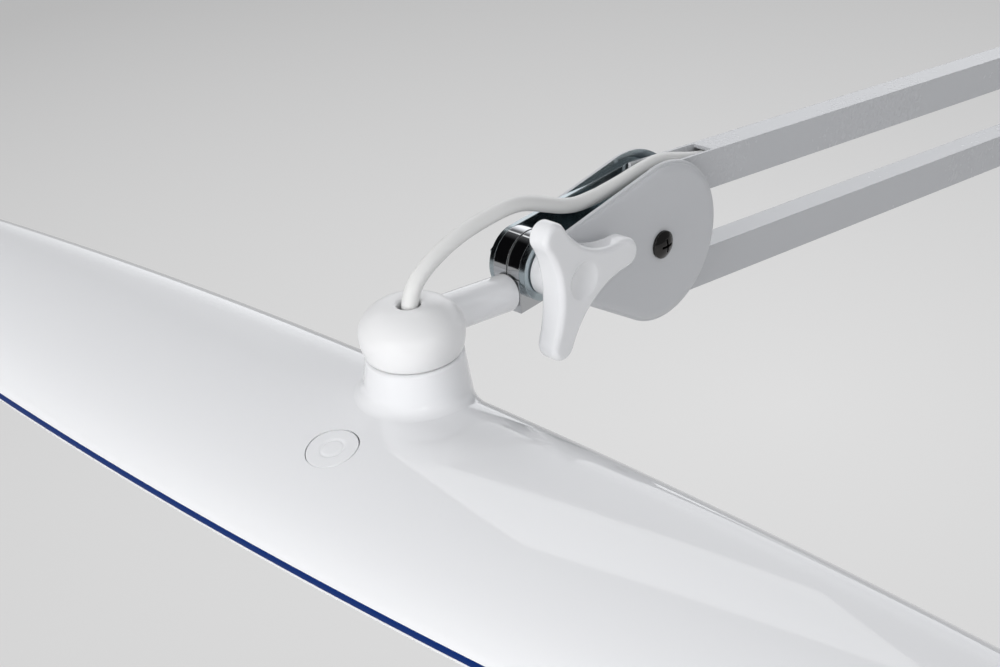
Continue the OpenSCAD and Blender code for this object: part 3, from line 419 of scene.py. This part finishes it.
knobSet = {"back": 11.3, "thick": 7.85, "reach": 22.0, "arm": 4.1, "waist": 8.6, "sweep": 1.4, "sweepFrom": 1.0,
           "edge": 1.7, "dimple": 5.5, "deep": 1.45, "lip": 0.3, "lipInner": 0.4, "lipDown": 0.03, "tip": 1e-3,
           "hole": 4.0, "sides": 360, "edgeSteps": 9, "flatSteps": 9, "dimpleSteps": 14, "hub": 7.2,
           "hubStart": 6.65, "hubHole": 4.3, "hubSoft": ((0.4, 0), (0.1, 0.1), (0, 0.4)), "hubInto": 0.1,
           "hubSides": 64, "sharp": 45}


# distance to the outline: round tips on three arms, joined by hollow arcs that touch them and close in to the waist
def wingEdge(turn):
    k = knobSet
    sixth = np.pi / 3
    mid, neck = k["reach"] - k["arm"], k["waist"] - k["arm"]
    far = (mid ** 2 - neck ** 2) / (mid - 2 * neck)
    off = np.abs((turn + sixth) % (2 * sixth) - sixth)
    out = sixth - off
    touch = math.atan2(far * math.sin(sixth), far * math.cos(sixth) - mid)
    last = math.atan2(k["arm"] * math.sin(touch), mid + k["arm"] * math.cos(touch))
    tip = mid * np.cos(off) + np.sqrt(np.clip(k["arm"] ** 2 - (mid * np.sin(off)) ** 2, 0, None))
    hollow = np.sqrt(np.clip((far - k["waist"]) ** 2 - (far * np.sin(out)) ** 2, 0, None))
    return np.where(off < last, tip, far * np.cos(out) - hollow)


# outline drawn in along its own normals over a rounded edge, then to the rim of a ball-shaped hollow in the front
def wingMesh():
    k = knobSet
    turn = fullTurn(k["sides"])
    ray = np.stack([np.cos(turn), np.sin(turn)], 1)
    edge = wingEdge(turn)[:, None] * ray
    along = np.roll(edge, -1, 0) - np.roll(edge, 1, 0)
    out = np.stack([along[:, 1], -along[:, 0]], 1) / np.linalg.norm(along, axis=1)[:, None]
    front = k["back"] + k["thick"]
    first = k["waist"] + k["sweepFrom"]
    back = k["back"] + k["sweep"] * np.clip((np.linalg.norm(edge, axis=1) - first) / (k["reach"] - first), 0, 1)
    ball = (k["dimple"] ** 2 + k["deep"] ** 2) / (2 * k["deep"])
    rings = [(k["hole"] * ray, k["back"])]
    for a in quarterTurn(k["edgeSteps"]):
        rings.append((edge - k["edge"] * (1 - math.sin(a)) * out, back + k["edge"] * (1 - math.cos(a))))
    for a in quarterTurn(k["edgeSteps"]):
        rings.append((edge - k["edge"] * (1 - math.cos(a)) * out, front - k["edge"] * (1 - math.sin(a))))
    flat, rim = rings[-1][0], (k["dimple"] + k["lip"]) * ray
    rings += [(flat + (rim - flat) * s, front) for s in np.linspace(0, 1, k["flatSteps"])[1:]]
    rings += [((k["dimple"] + k["lip"] * k["lipInner"]) * ray, front - k["lipDown"])]
    for r in np.linspace(k["dimple"], k["tip"], k["dimpleSteps"]):
        rings.append((r * ray, front - k["deep"] + ball - math.sqrt(ball ** 2 - r ** 2)))
    points = np.array([np.column_stack([np.broadcast_to(x, k["sides"]), p]) for p, x in rings])
    return points * mm + tilt, gridFaces(len(rings), k["sides"], wrapCol=True)


# plain round boss behind the wings, with a soft first edge
def hubMesh():
    k = knobSet
    soft = [(k["hub"] - inset, z) for inset, z in k["hubSoft"]]
    ring = [(k["hubHole"], 0), *soft, (k["hub"], k["back"] - k["hubStart"] + k["hubInto"])]
    points, faces = turned(ring, np.zeros(3), k["hubSides"])
    return points[..., [2, 0, 1]] + tilt + np.array([k["hubStart"] * mm, 0, 0]), faces[:, ::-1]


knob = makeMesh("knob", *joinParts(wingMesh(), hubMesh()), knobSet["sharp"])
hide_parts("wing_knob")
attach(knob, "tilt_knob")
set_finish(knob, "gloss_white")
print("knob made")

coverSet = {"low": 6.2, "rim": 7.3, "rimWide": 0.8, "under": 2.6, "top": 9.0, "soft": 2.4, "arc": 40,
            "wallSoft": ((0, 0.3), (0.09, 0.09), (0.3, 0)), "stepIn": 0.08, "stepUp": 0.06, "crownRings": 34,
            "crownFirst": 0.03, "crownLast": 0.98, "big": (-7.4, -14.1, 23.2), "tip": 6.4, "notch": 9.7,
            "notchSteps": 80, "dropSteps": 240, "screw": (-10.0, -13.3), "crown": 420.0, "elbowCrown": 2400.0,
            "cap": 11.0, "pivots": 30, "elbowShift": (5, 7), "sharp": 40}
headFlat = pivot["head_bracket_level"][1:] / mm
baseFlat = pivot["lower_arm_pitch"][1:] / mm
elbowRear = pivot["elbow_level"][1:] / mm
elbowFlat = elbow[1:] / mm


# outer tangents and arcs round a ring of circles, each drawn in by the inset
def roundOutline(circles, inset):
    spots = np.array([c[:2] for c in circles], float)
    sizes = np.array([c[2] for c in circles], float) - inset
    way = np.roll(spots, -1, 0) - spots
    far = np.linalg.norm(way, axis=1)
    out = np.arctan2(way[:, 1], way[:, 0]) - np.arccos(np.clip((sizes - np.roll(sizes, -1)) / far, -1, 1))
    start = np.roll(out, 1)
    turn = start[:, None] + ((out - start) % (2 * np.pi))[:, None] * np.linspace(0, 1, coverSet["arc"])
    arcs = spots[:, None, :] + sizes[:, None, None] * np.stack([np.cos(turn), np.sin(turn)], -1)
    return arcs.reshape(-1, 2)


# rays from the screw to a big circle and its two tangents to a small one, stopped at a round notch on the tilt axis
def dropOutline(inset):
    c = coverSet
    middle, hub, nose = headFlat + c["big"][:2], headFlat + c["screw"], tilt[1:] / mm
    big, small, notch = c["big"][2] - inset, c["tip"] - inset, c["notch"] + inset
    far = np.linalg.norm(nose - middle)
    u = (nose - middle) / far
    v = np.array([-u[1], u[0]])
    lean = (big - small) / far
    normals = [u * lean + s * v * math.sqrt(1 - lean ** 2) for s in (-1, 1)]
    corners = []
    for n in normals:
        along = u - (u @ n) * n
        corners.append(nose + small * n - math.sqrt(notch ** 2 - small ** 2) * along / np.linalg.norm(along))
    first, last = (math.atan2(*(p - hub)[::-1]) for p in corners)
    span = (last - first) % (2 * np.pi)
    steps = c["notchSteps"]
    turn = first + np.concatenate([np.linspace(0, span, steps, endpoint=False),
                                   np.linspace(span, 2 * np.pi, c["dropSteps"], endpoint=False)])
    ray = np.stack([np.cos(turn), np.sin(turn)], 1)
    w, g = hub - middle, hub - nose
    arc = -ray @ w + np.sqrt((ray @ w) ** 2 - w @ w + big ** 2)
    lines = [np.where(ray @ n > tiny, (big - w @ n) / np.maximum(ray @ n, tiny), huge) for n in normals]
    reach = np.where((w + arc[:, None] * ray) @ u / big < lean, arc, np.minimum(*lines))
    inside = (ray @ g) ** 2 - g @ g + notch ** 2
    stop = np.where((inside > 0) & (ray @ g < 0), -ray @ g - np.sqrt(np.clip(inside, 0, None)), huge)
    reach[:steps] = stop[:steps]
    reach[0], reach[steps] = (np.linalg.norm(p - hub) for p in corners)
    return hub + reach[:, None] * ray


# outline carried up a wall and over a flat rim, then a quarter round up to a crown that falls with the square of
# the distance from the hub
def coverMesh(outline, hub, crown, side):
    c = coverSet
    wide, foot = c["rimWide"], c["rim"] + c["stepUp"]
    steps = [(c["under"], c["low"]), (0, c["low"]), *((inset, c["rim"] - down) for inset, down in c["wallSoft"]),
             (wide - c["stepIn"], c["rim"]), (wide, foot)]
    rows = [(outline(inset), x) for inset, x in steps]
    top = outline(wide) - hub
    far = np.linalg.norm(top, axis=1)
    for s in 1 - c["crownLast"] * np.linspace(c["crownFirst"], 1, c["crownRings"]) ** 2:
        near = np.clip(1 - far * (1 - s) / c["soft"], 0, 1)
        rise = c["top"] - foot - (far * s) ** 2 / (2 * crown)
        rows.append((hub + top * s, foot + rise * np.sqrt(1 - near ** 2)))
    rings = np.array([np.column_stack([np.broadcast_to(x, len(top)), p]) for p, x in rows])
    cols = rings.shape[1]
    shut = list(range((len(rows) - 1) * cols, len(rows) * cols))
    faces = gridFaces(len(rows), cols, wrapCol=True).tolist() + [shut]
    if side < 0:
        return rings * (-mm, mm, mm), [f[::-1] for f in faces]
    return rings * mm, faces


baseSpots = (baseFlat, baseFlat - (coverSet["pivots"], 0))
elbowSpots = (elbowFlat, elbowFlat - (0, coverSet["pivots"]), elbowRear - (coverSet["pivots"], 0), elbowRear)
baseRound, elbowRound = ([(*spot, coverSet["cap"]) for spot in spots] for spots in (baseSpots, elbowSpots))
dropShape = (dropOutline, headFlat + coverSet["screw"], coverSet["crown"])
baseShape = (lambda d: roundOutline(baseRound, d), baseFlat - (coverSet["pivots"] / 2, 0), coverSet["crown"])
elbowShape = (lambda d: roundOutline(elbowRound, d), (elbowFlat + elbowRear) / 2 - coverSet["elbowShift"],
              coverSet["elbowCrown"])
covers = []
for name, node, shape, body, sides in (("cover_near", "near_cover", dropShape, "head_bracket", (1,)),
                                       ("cover_far", "far_cover", dropShape, "head_bracket", (-1,)),
                                       ("base_caps", "base_covers", baseShape, "base", (1, -1)),
                                       ("elbow_caps", "elbow_covers", elbowShape, "elbow", (1, -1))):
    piece = makeMesh(name, *joinParts(*(coverMesh(*shape, s) for s in sides)), coverSet["sharp"])
    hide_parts(node)
    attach(piece, body)
    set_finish(piece, "grey_cover")
    covers.append(piece)
print("covers:", len(covers))

springSet = {"wire": 1.4, "coil": 4.6, "curls": 18, "side": 10.4, "eyeGap": 0.3, "eyeTurn": 150, "eyeSteps": 26,
             "post": 2.0, "pin": 1.5, "neck": 2, "tail": 3, "perCurl": 20, "sides": 10, "step": 0.42,
             "up": (1, 0.02, 0.01), "fall": 9.7, "lean": 8.0, "reach": 112.0, "pinDrop": 3.4,
             "forePost": (12, 25), "lowPost": (25, -2), "giveShare": 0.45, "sharp": 60}


# eye round the post, curls along the line, eye round the pin, all one wire
def springPath(length):
    s = springSet
    first, last = (s[k] + s["wire"] / 2 + s["eyeGap"] for k in ("post", "pin"))
    a = np.radians(np.linspace(-s["eyeTurn"], s["eyeTurn"], s["eyeSteps"]))
    eyeOne = np.column_stack([0 * a, -first * np.cos(a), first * np.sin(a)])
    n = s["curls"] * s["perCurl"]
    i = np.arange(n + 1)
    grow = np.minimum(1, np.minimum(i, n - i) / s["perCurl"])
    turn = 2 * np.pi * i / s["perCurl"]
    along = s["tail"] * first + (length - s["tail"] * last - s["tail"] * first) * i / n
    body = np.column_stack([grow * s["coil"] * np.cos(turn), along, grow * s["coil"] * np.sin(turn)])
    eyeTwo = np.column_stack([0 * a, length + last * np.cos(a), -last * np.sin(a)])[::-1]
    return np.vstack([eyeOne, [(0, s["neck"] * first, 0)], body, [(0, length - s["neck"] * last, 0)], eyeTwo])


# the wire as a tube, turned in the arm's plane to run from the post to the pin
def springMesh(start, end, side):
    way = end - start
    path = roundPath(springPath(np.linalg.norm(way)), springSet["step"])[0]
    ring, faces = tubeMesh(path, springSet["wire"] / 2, springSet["sides"], springSet["up"])
    lean = math.atan2(way[1], way[0])
    c, s = math.cos(lean), math.sin(lean)
    x, y, z = ring.reshape(-1, 3).T
    return np.column_stack([x + side, c * y - s * z + start[0], s * y + c * z + start[1]]) * mm, faces


fall, lean = math.radians(springSet["fall"]), math.radians(springSet["lean"])
foreWay = np.array([math.cos(fall), -math.sin(fall)])
lowWay = np.array([math.sin(lean), math.cos(lean)])
forePin = elbowFlat - springSet["reach"] * foreWay - springSet["pinDrop"] * np.array([-foreWay[1], foreWay[0]])
lowPin = baseFlat + springSet["reach"] * lowWay - springSet["pinDrop"] * np.array([lowWay[1], -lowWay[0]])
forePost, lowPost = elbowFlat + springSet["forePost"], baseFlat + springSet["lowPost"]
springs = []
for node, start, end, bodies in (("forearm_springs", forePost, forePin, ("elbow", "forearm_upper")),
                                 ("lower_springs", lowPost, lowPin, ("base", "lower_rear"))):
    pair = joinParts(*(springMesh(start, end, s * springSet["side"]) for s in (-1, 1)))
    piece = makeMesh(node.replace("springs", "coils"), *pair, springSet["sharp"])
    first, last = np.array([0, *start]) * mm, np.array([0, *end]) * mm
    first + (last - first) * springSet["giveShare"]
    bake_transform(piece)
    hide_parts(node)
    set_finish(piece, "spring_steel")
    springs.append(piece)
print("springs:", len(springs), "pairs")


class Sock:  # a shader socket that does arithmetic
    def __init__(self, tree, out=None):
        self.tree, self.out = tree, out

    def node(self, kind, settings, sockets, out=0):
        made = self.tree.nodes.new(kind)
        for key, value in settings.items():
            if key == "stops":
                ramp = made.color_ramp.elements
                for n, (where, colour) in enumerate(value):
                    stop = ramp[n] if n < len(ramp) else ramp.new(where)
                    stop.position, stop.color = where, colour
            else:
                setattr(made, key, value)
        for key, value in sockets.items():
            if isinstance(value, Sock):
                self.tree.links.new(value.out, made.inputs[key])
            else:
                made.inputs[key].default_value = value
        return Sock(self.tree, made.outputs[out])

    def maths(self, operation, a, b):
        return self.node("ShaderNodeMath", {"operation": operation}, {0: a, 1: b})

    def __add__(self, other): return self.maths("ADD", self, other)
    def __radd__(self, other): return self.maths("ADD", other, self)
    def __sub__(self, other): return self.maths("SUBTRACT", self, other)
    def __rsub__(self, other): return self.maths("SUBTRACT", other, self)
    def __mul__(self, other): return self.maths("MULTIPLY", self, other)
    def __rmul__(self, other): return self.maths("MULTIPLY", other, self)


class Finish:  # one material: its shader, the place on the object, and the links into it
    def __init__(self, name, **values):
        self.material = bpy.data.materials.new(name)
        self.material.use_nodes = True
        self.tree = self.material.node_tree
        self.shader = self.tree.nodes["Principled BSDF"]
        self.here = Sock(self.tree)
        self.place = self.here.node("ShaderNodeTexCoord", {}, {}, "Object")
        for key, value in values.items():
            self.shader.inputs[key].default_value = value

    def feed(self, name, sock):
        self.tree.links.new(sock.out, self.shader.inputs[name])

    def noise(self, scale, detail=2.0, rough=0.5, stretch=None):
        spot = self.place
        if stretch:
            spot = self.here.node("ShaderNodeMapping", {}, {"Vector": self.place, "Scale": stretch})
        sockets = {"Vector": spot, "Scale": scale, "Detail": detail, "Roughness": rough}
        return self.here.node("ShaderNodeTexNoise", {}, sockets)

    def mix(self, factor, a, b):
        return self.here.node("ShaderNodeMix", {"data_type": "RGBA"}, {0: factor, 6: a, 7: b}, 2)

    def bump(self, height, strength, deep, edge=0.0):
        sockets = {"Height": height, "Strength": strength, "Distance": deep}
        if edge:
            sockets["Normal"] = self.here.node("ShaderNodeBevel", {"samples": 6}, {"Radius": edge})
        self.feed("Normal", self.here.node("ShaderNodeBump", {}, sockets))


def paint(r, g, b):
    return (r, g, b, 1.0)


mouldSet = {"broad": (9, 3), "bump": 0.25, "coatRough": 0.04}


# moulded plastic: broad clouding of the colour, fine grain in gloss and height
def mouldedFinish(name, colour, rough, grain=900, deep=0.00002, edge=0.0, spread=0.05, tint=0.985, **values):
    f = Finish(name, **{"Coat Roughness": mouldSet["coatRough"], **values})
    broad = f.noise(*mouldSet["broad"])
    fine = f.noise(grain, 2)
    f.feed("Base Color", f.mix(broad, paint(*(c * tint for c in colour)), paint(*colour)))
    f.feed("Roughness", rough + (broad - 0.5) * spread + (fine - 0.5) * spread)
    f.bump(fine, mouldSet["bump"], deep, edge)
    return f.material


powderSet = {"peel": (420, 1.5, 0.5), "broad": (14, 3), "tint": 0.97, "peelSpread": 0.02, "broadSpread": 0.05,
             "bump": 0.05, "deep": 0.00002, "edge": 0.0003}


# powder coat: broad clouding of the colour, soft dimples in gloss and height
def paintedFinish(name, colour, rough):
    s = powderSet
    f = Finish(name)
    peel = f.noise(*s["peel"])
    broad = f.noise(*s["broad"])
    f.feed("Base Color", f.mix(broad, paint(*(c * s["tint"] for c in colour)), paint(*colour)))
    f.feed("Roughness", rough + (peel - 0.5) * s["peelSpread"] + (broad - 0.5) * s["broadSpread"])
    f.bump(peel, s["bump"], s["deep"], s["edge"])
    return f.material


metalSet = {"cloud": (60, 4, 0.6), "lines": (3, 0.6), "cloudShare": 0.6, "bump": 0.2, "deep": 0.00001}


# metal: two close tones in clouds, and working lines along the stretch
def metalFinish(name, colour, second, rough, stretch=None, scale=400, edge=0.0003, spread=0.12):
    f = Finish(name, Metallic=1.0)
    cloud = f.noise(*metalSet["cloud"])
    lines = f.noise(scale, *metalSet["lines"], stretch)
    f.feed("Base Color", f.mix(cloud, paint(*colour), paint(*second)))
    f.feed("Roughness", rough + (lines - 0.5) * spread + (cloud - 0.5) * spread * metalSet["cloudShare"])
    f.bump(lines, metalSet["bump"], metalSet["deep"], edge)
    return f.material


finishes = {
    "gloss_white": mouldedFinish("gloss white", (0.85, 0.855, 0.87), 0.05, 500, 0.000004, spread=0.02,
                                 **{"Coat Weight": 0.2}),
    "satin_white": mouldedFinish("satin white", (0.85, 0.85, 0.855), 0.30, 900, 0.00002, spread=0.06,
                                 **{"Coat Weight": 0.1}),
    "grey_cover": mouldedFinish("cover grey", (0.60, 0.61, 0.63), 0.34, 1100, 0.00003, spread=0.07),
    "blue": mouldedFinish("edge blue", (0.001, 0.024, 0.15), 0.36, 700, 0.00001, tint=0.85,
                          **{"Specular IOR Level": 0.05}),
    "opal": mouldedFinish("opal", (0.85, 0.85, 0.82), 0.42, 1400, 0.00003),
    "lead_white": mouldedFinish("lead sheath", (0.80, 0.80, 0.79), 0.38, 1300, 0.00003, spread=0.08),
    "rubber": mouldedFinish("black rubber", (0.022, 0.022, 0.023), 0.68, 1600, 0.00006, edge=0.0004, spread=0.12,
                            tint=0.7),
    "nylon": mouldedFinish("nylon", (0.62, 0.62, 0.60), 0.40, 1200, 0.00002, edge=0.0002),
    "board_white": mouldedFinish("board white", (0.80, 0.80, 0.77), 0.40, 1500, 0.00002),
    "board_green": mouldedFinish("board green", (0.01, 0.09, 0.035), 0.35, 1500, 0.00002, tint=0.8),
    "phosphor": mouldedFinish("phosphor", (0.85, 0.68, 0.16), 0.45, 1500, 0.00002),
    # powder white set darker than the white paint really is: painted shade for the bars' shaded near sides
    "painted_white": paintedFinish("powder white", (0.56, 0.57, 0.59), 0.27),
    "zinc": metalFinish("bright zinc", (0.42, 0.50, 0.54), (0.55, 0.60, 0.61), 0.20),
    "chrome": metalFinish("chrome", (0.62, 0.63, 0.64), (0.56, 0.57, 0.59), 0.06, scale=900, spread=0.04),
    "dark_nickel": metalFinish("dark nickel", (0.075, 0.072, 0.07), (0.04, 0.039, 0.038), 0.12, scale=700,
                               spread=0.08),
    "spring_steel": metalFinish("spring wire", (0.62, 0.63, 0.64), (0.52, 0.53, 0.55), 0.27, scale=800, edge=0.0),
    "aluminium": metalFinish("mill aluminium", (0.80, 0.80, 0.81), (0.72, 0.72, 0.74), 0.34, (1, 14, 14), 260),
    "brass": metalFinish("turned brass", (0.78, 0.58, 0.24), (0.66, 0.47, 0.18), 0.25, (14, 1, 1), 300),
}
print("finishes:", len(finishes))


def dress(piece, slot):
    piece.data.materials.clear()
    piece.data.materials.append(finishes[slot])


for part in frame["record"]["subparts"]:
    dress(nodes[part["node"]], part["material_slot"])
for piece in list(leads.values()) + bands + springs + covers + [shell, collar, dome, knob, button]:
    dress(piece, piece["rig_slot"])
for piece in covers[:2]:
    piece.data.materials.append(finishes["zinc"])  # plated steel on their undersides, the first ring of faces
    below = np.arange(len(piece.data.polygons)) < len(dropOutline(0))
    piece.data.polygons.foreach_set("material_index", below.astype(np.int32))
dress(nodes["neck_tube"], "gloss_white")  # gloss white like the head, brighter than the powder white with its painted shade
print("finishes given to", len(nodes), "nodes")

stageSet = {"half": 10.0, "below": 0.0005, "colour": (0.74, 0.735, 0.73), "rough": 0.9, "middle": (-0.587, 0.507),
            "bright": 0.876, "fall": 0.215, "least": 0.52, "share": 0.6}


# painted light: a pale grey floor that glows, brightest round a middle point and dimming with the distance from it,
# shown to the camera and in reflections
def stageMaterial():
    s = stageSet
    f = Finish("backdrop", Roughness=s["rough"], **{"Base Color": paint(*s["colour"])})
    make = f.here.node
    flat = make("ShaderNodeVectorMath", {"operation": "MULTIPLY"}, {0: f.place, 1: (1, 1, 0)})
    away = make("ShaderNodeVectorMath", {"operation": "DISTANCE"}, {0: flat, 1: (*s["middle"], 0)}, "Value")
    glow = f.here.maths("MAXIMUM", s["bright"] - away * s["fall"], s["least"])
    light = make("ShaderNodeEmission", {}, {"Color": glow})
    camera, gloss, through = (make("ShaderNodeLightPath", {}, {}, "Is " + kind + " Ray")
                              for kind in ("Camera", "Glossy", "Transmission"))
    seen = f.here.maths("MINIMUM", camera + gloss + through, 1.0)
    plain = Sock(f.tree, f.shader.outputs[0])
    both = make("ShaderNodeMixShader", {}, {0: seen * s["share"], 1: plain, 2: light})
    f.tree.links.new(both.out, f.tree.nodes["Material Output"].inputs["Surface"])
    return f.material


half = stageSet["half"]
corners = np.array([(-half, -half, 0), (half, -half, 0), (half, half, 0), (-half, half, 0)])
floor = makeMesh("floor", corners + (0, 0, cadBox[0][2] - stageSet["below"]), [(0, 1, 2, 3)])
floor.data.materials.append(stageMaterial())

# each lamp: place, width, depth, power, and whether it shows on plain and on shiny surfaces
lightSet = {"sky": (0.80, 0.81, 0.83), "level": 0.58, "shinyShare": 0.4,
            "dark": (-0.72, -0.45, 0.45), "darkFrom": 0.55, "darkTo": 0.85, "darkSky": (0.02, 0.02, 0.022),
            "behind": (-0.46, 0.88, 0.10), "behindFrom": 0.78, "behindTo": 0.94, "behindLevel": 1.7,
            "aim": (0.0, -0.45, 0.55),
            "lamps": {"front": ((0.0, -2.70, 1.25), 1.5, 1.2, 40.0, True, False),
                      "left": ((-2.10, -0.10, 2.00), 1.3, 1.2, 21.0, True, False),
                      "right": ((2.20, -0.90, 1.50), 1.2, 1.2, 9.5, True, False),
                      "panel": ((-0.96, 0.475, 2.08), 0.8, 0.38, 1.1, True, True),
                      "glint": ((1.60, -1.70, 1.30), 0.5, 0.4, 2.0, False, True)}}
world = bpy.data.worlds.new("room")
world.use_nodes = True
sky = Sock(world.node_tree)
ray = sky.node("ShaderNodeTexCoord", {}, {}, "Generated")


# how nearly the ray points along a given way, 1 when it does
def towards(way):
    unit = tuple(np.array(way) / np.linalg.norm(way))
    return sky.node("ShaderNodeVectorMath", {"operation": "DOT_PRODUCT"}, {0: ray, 1: unit}, "Value")


# a dark patch in the sky; shiny surfaces see a dimmer room, but a pale wall behind the lamp
stops = [(lightSet["darkFrom"], paint(*lightSet["sky"])), (lightSet["darkTo"], paint(*lightSet["darkSky"]))]
shade = sky.node("ShaderNodeValToRGB", {"stops": stops}, {0: towards(lightSet["dark"])})
glossy = sky.node("ShaderNodeLightPath", {}, {}, "Is Glossy Ray")
wall = (towards(lightSet["behind"]) - lightSet["behindFrom"]) * (1 / (lightSet["behindTo"] - lightSet["behindFrom"]))
wall = sky.maths("MINIMUM", sky.maths("MAXIMUM", wall, 0.0), 1.0)
room = lightSet["level"] * (1 - glossy * (1 - lightSet["shinyShare"]))
strength = room + glossy * wall * lightSet["behindLevel"]
background = world.node_tree.nodes["Background"]
world.node_tree.links.new(shade.out, background.inputs["Color"])
world.node_tree.links.new(strength.out, background.inputs["Strength"])
scene.world = world
for name, (place, wide, deep, power, plain, shiny) in lightSet["lamps"].items():
    lamp = bpy.data.objects.new(name, bpy.data.lights.new(name, "AREA"))
    scene.collection.objects.link(lamp)
    lamp.data.shape, lamp.data.size, lamp.data.size_y, lamp.data.energy = "RECTANGLE", wide, deep, power
    lamp.visible_diffuse, lamp.visible_glossy = plain, shiny
    back = np.array(place) - np.array(lightSet["aim"])
    back /= np.linalg.norm(back)
    right = np.cross((0, 0, 1), back)
    right /= np.linalg.norm(right)
    setPlace(lamp, (right, np.cross(back, right), back), place)
scene.view_settings.view_transform = "Standard"
print("stage and lamps set")
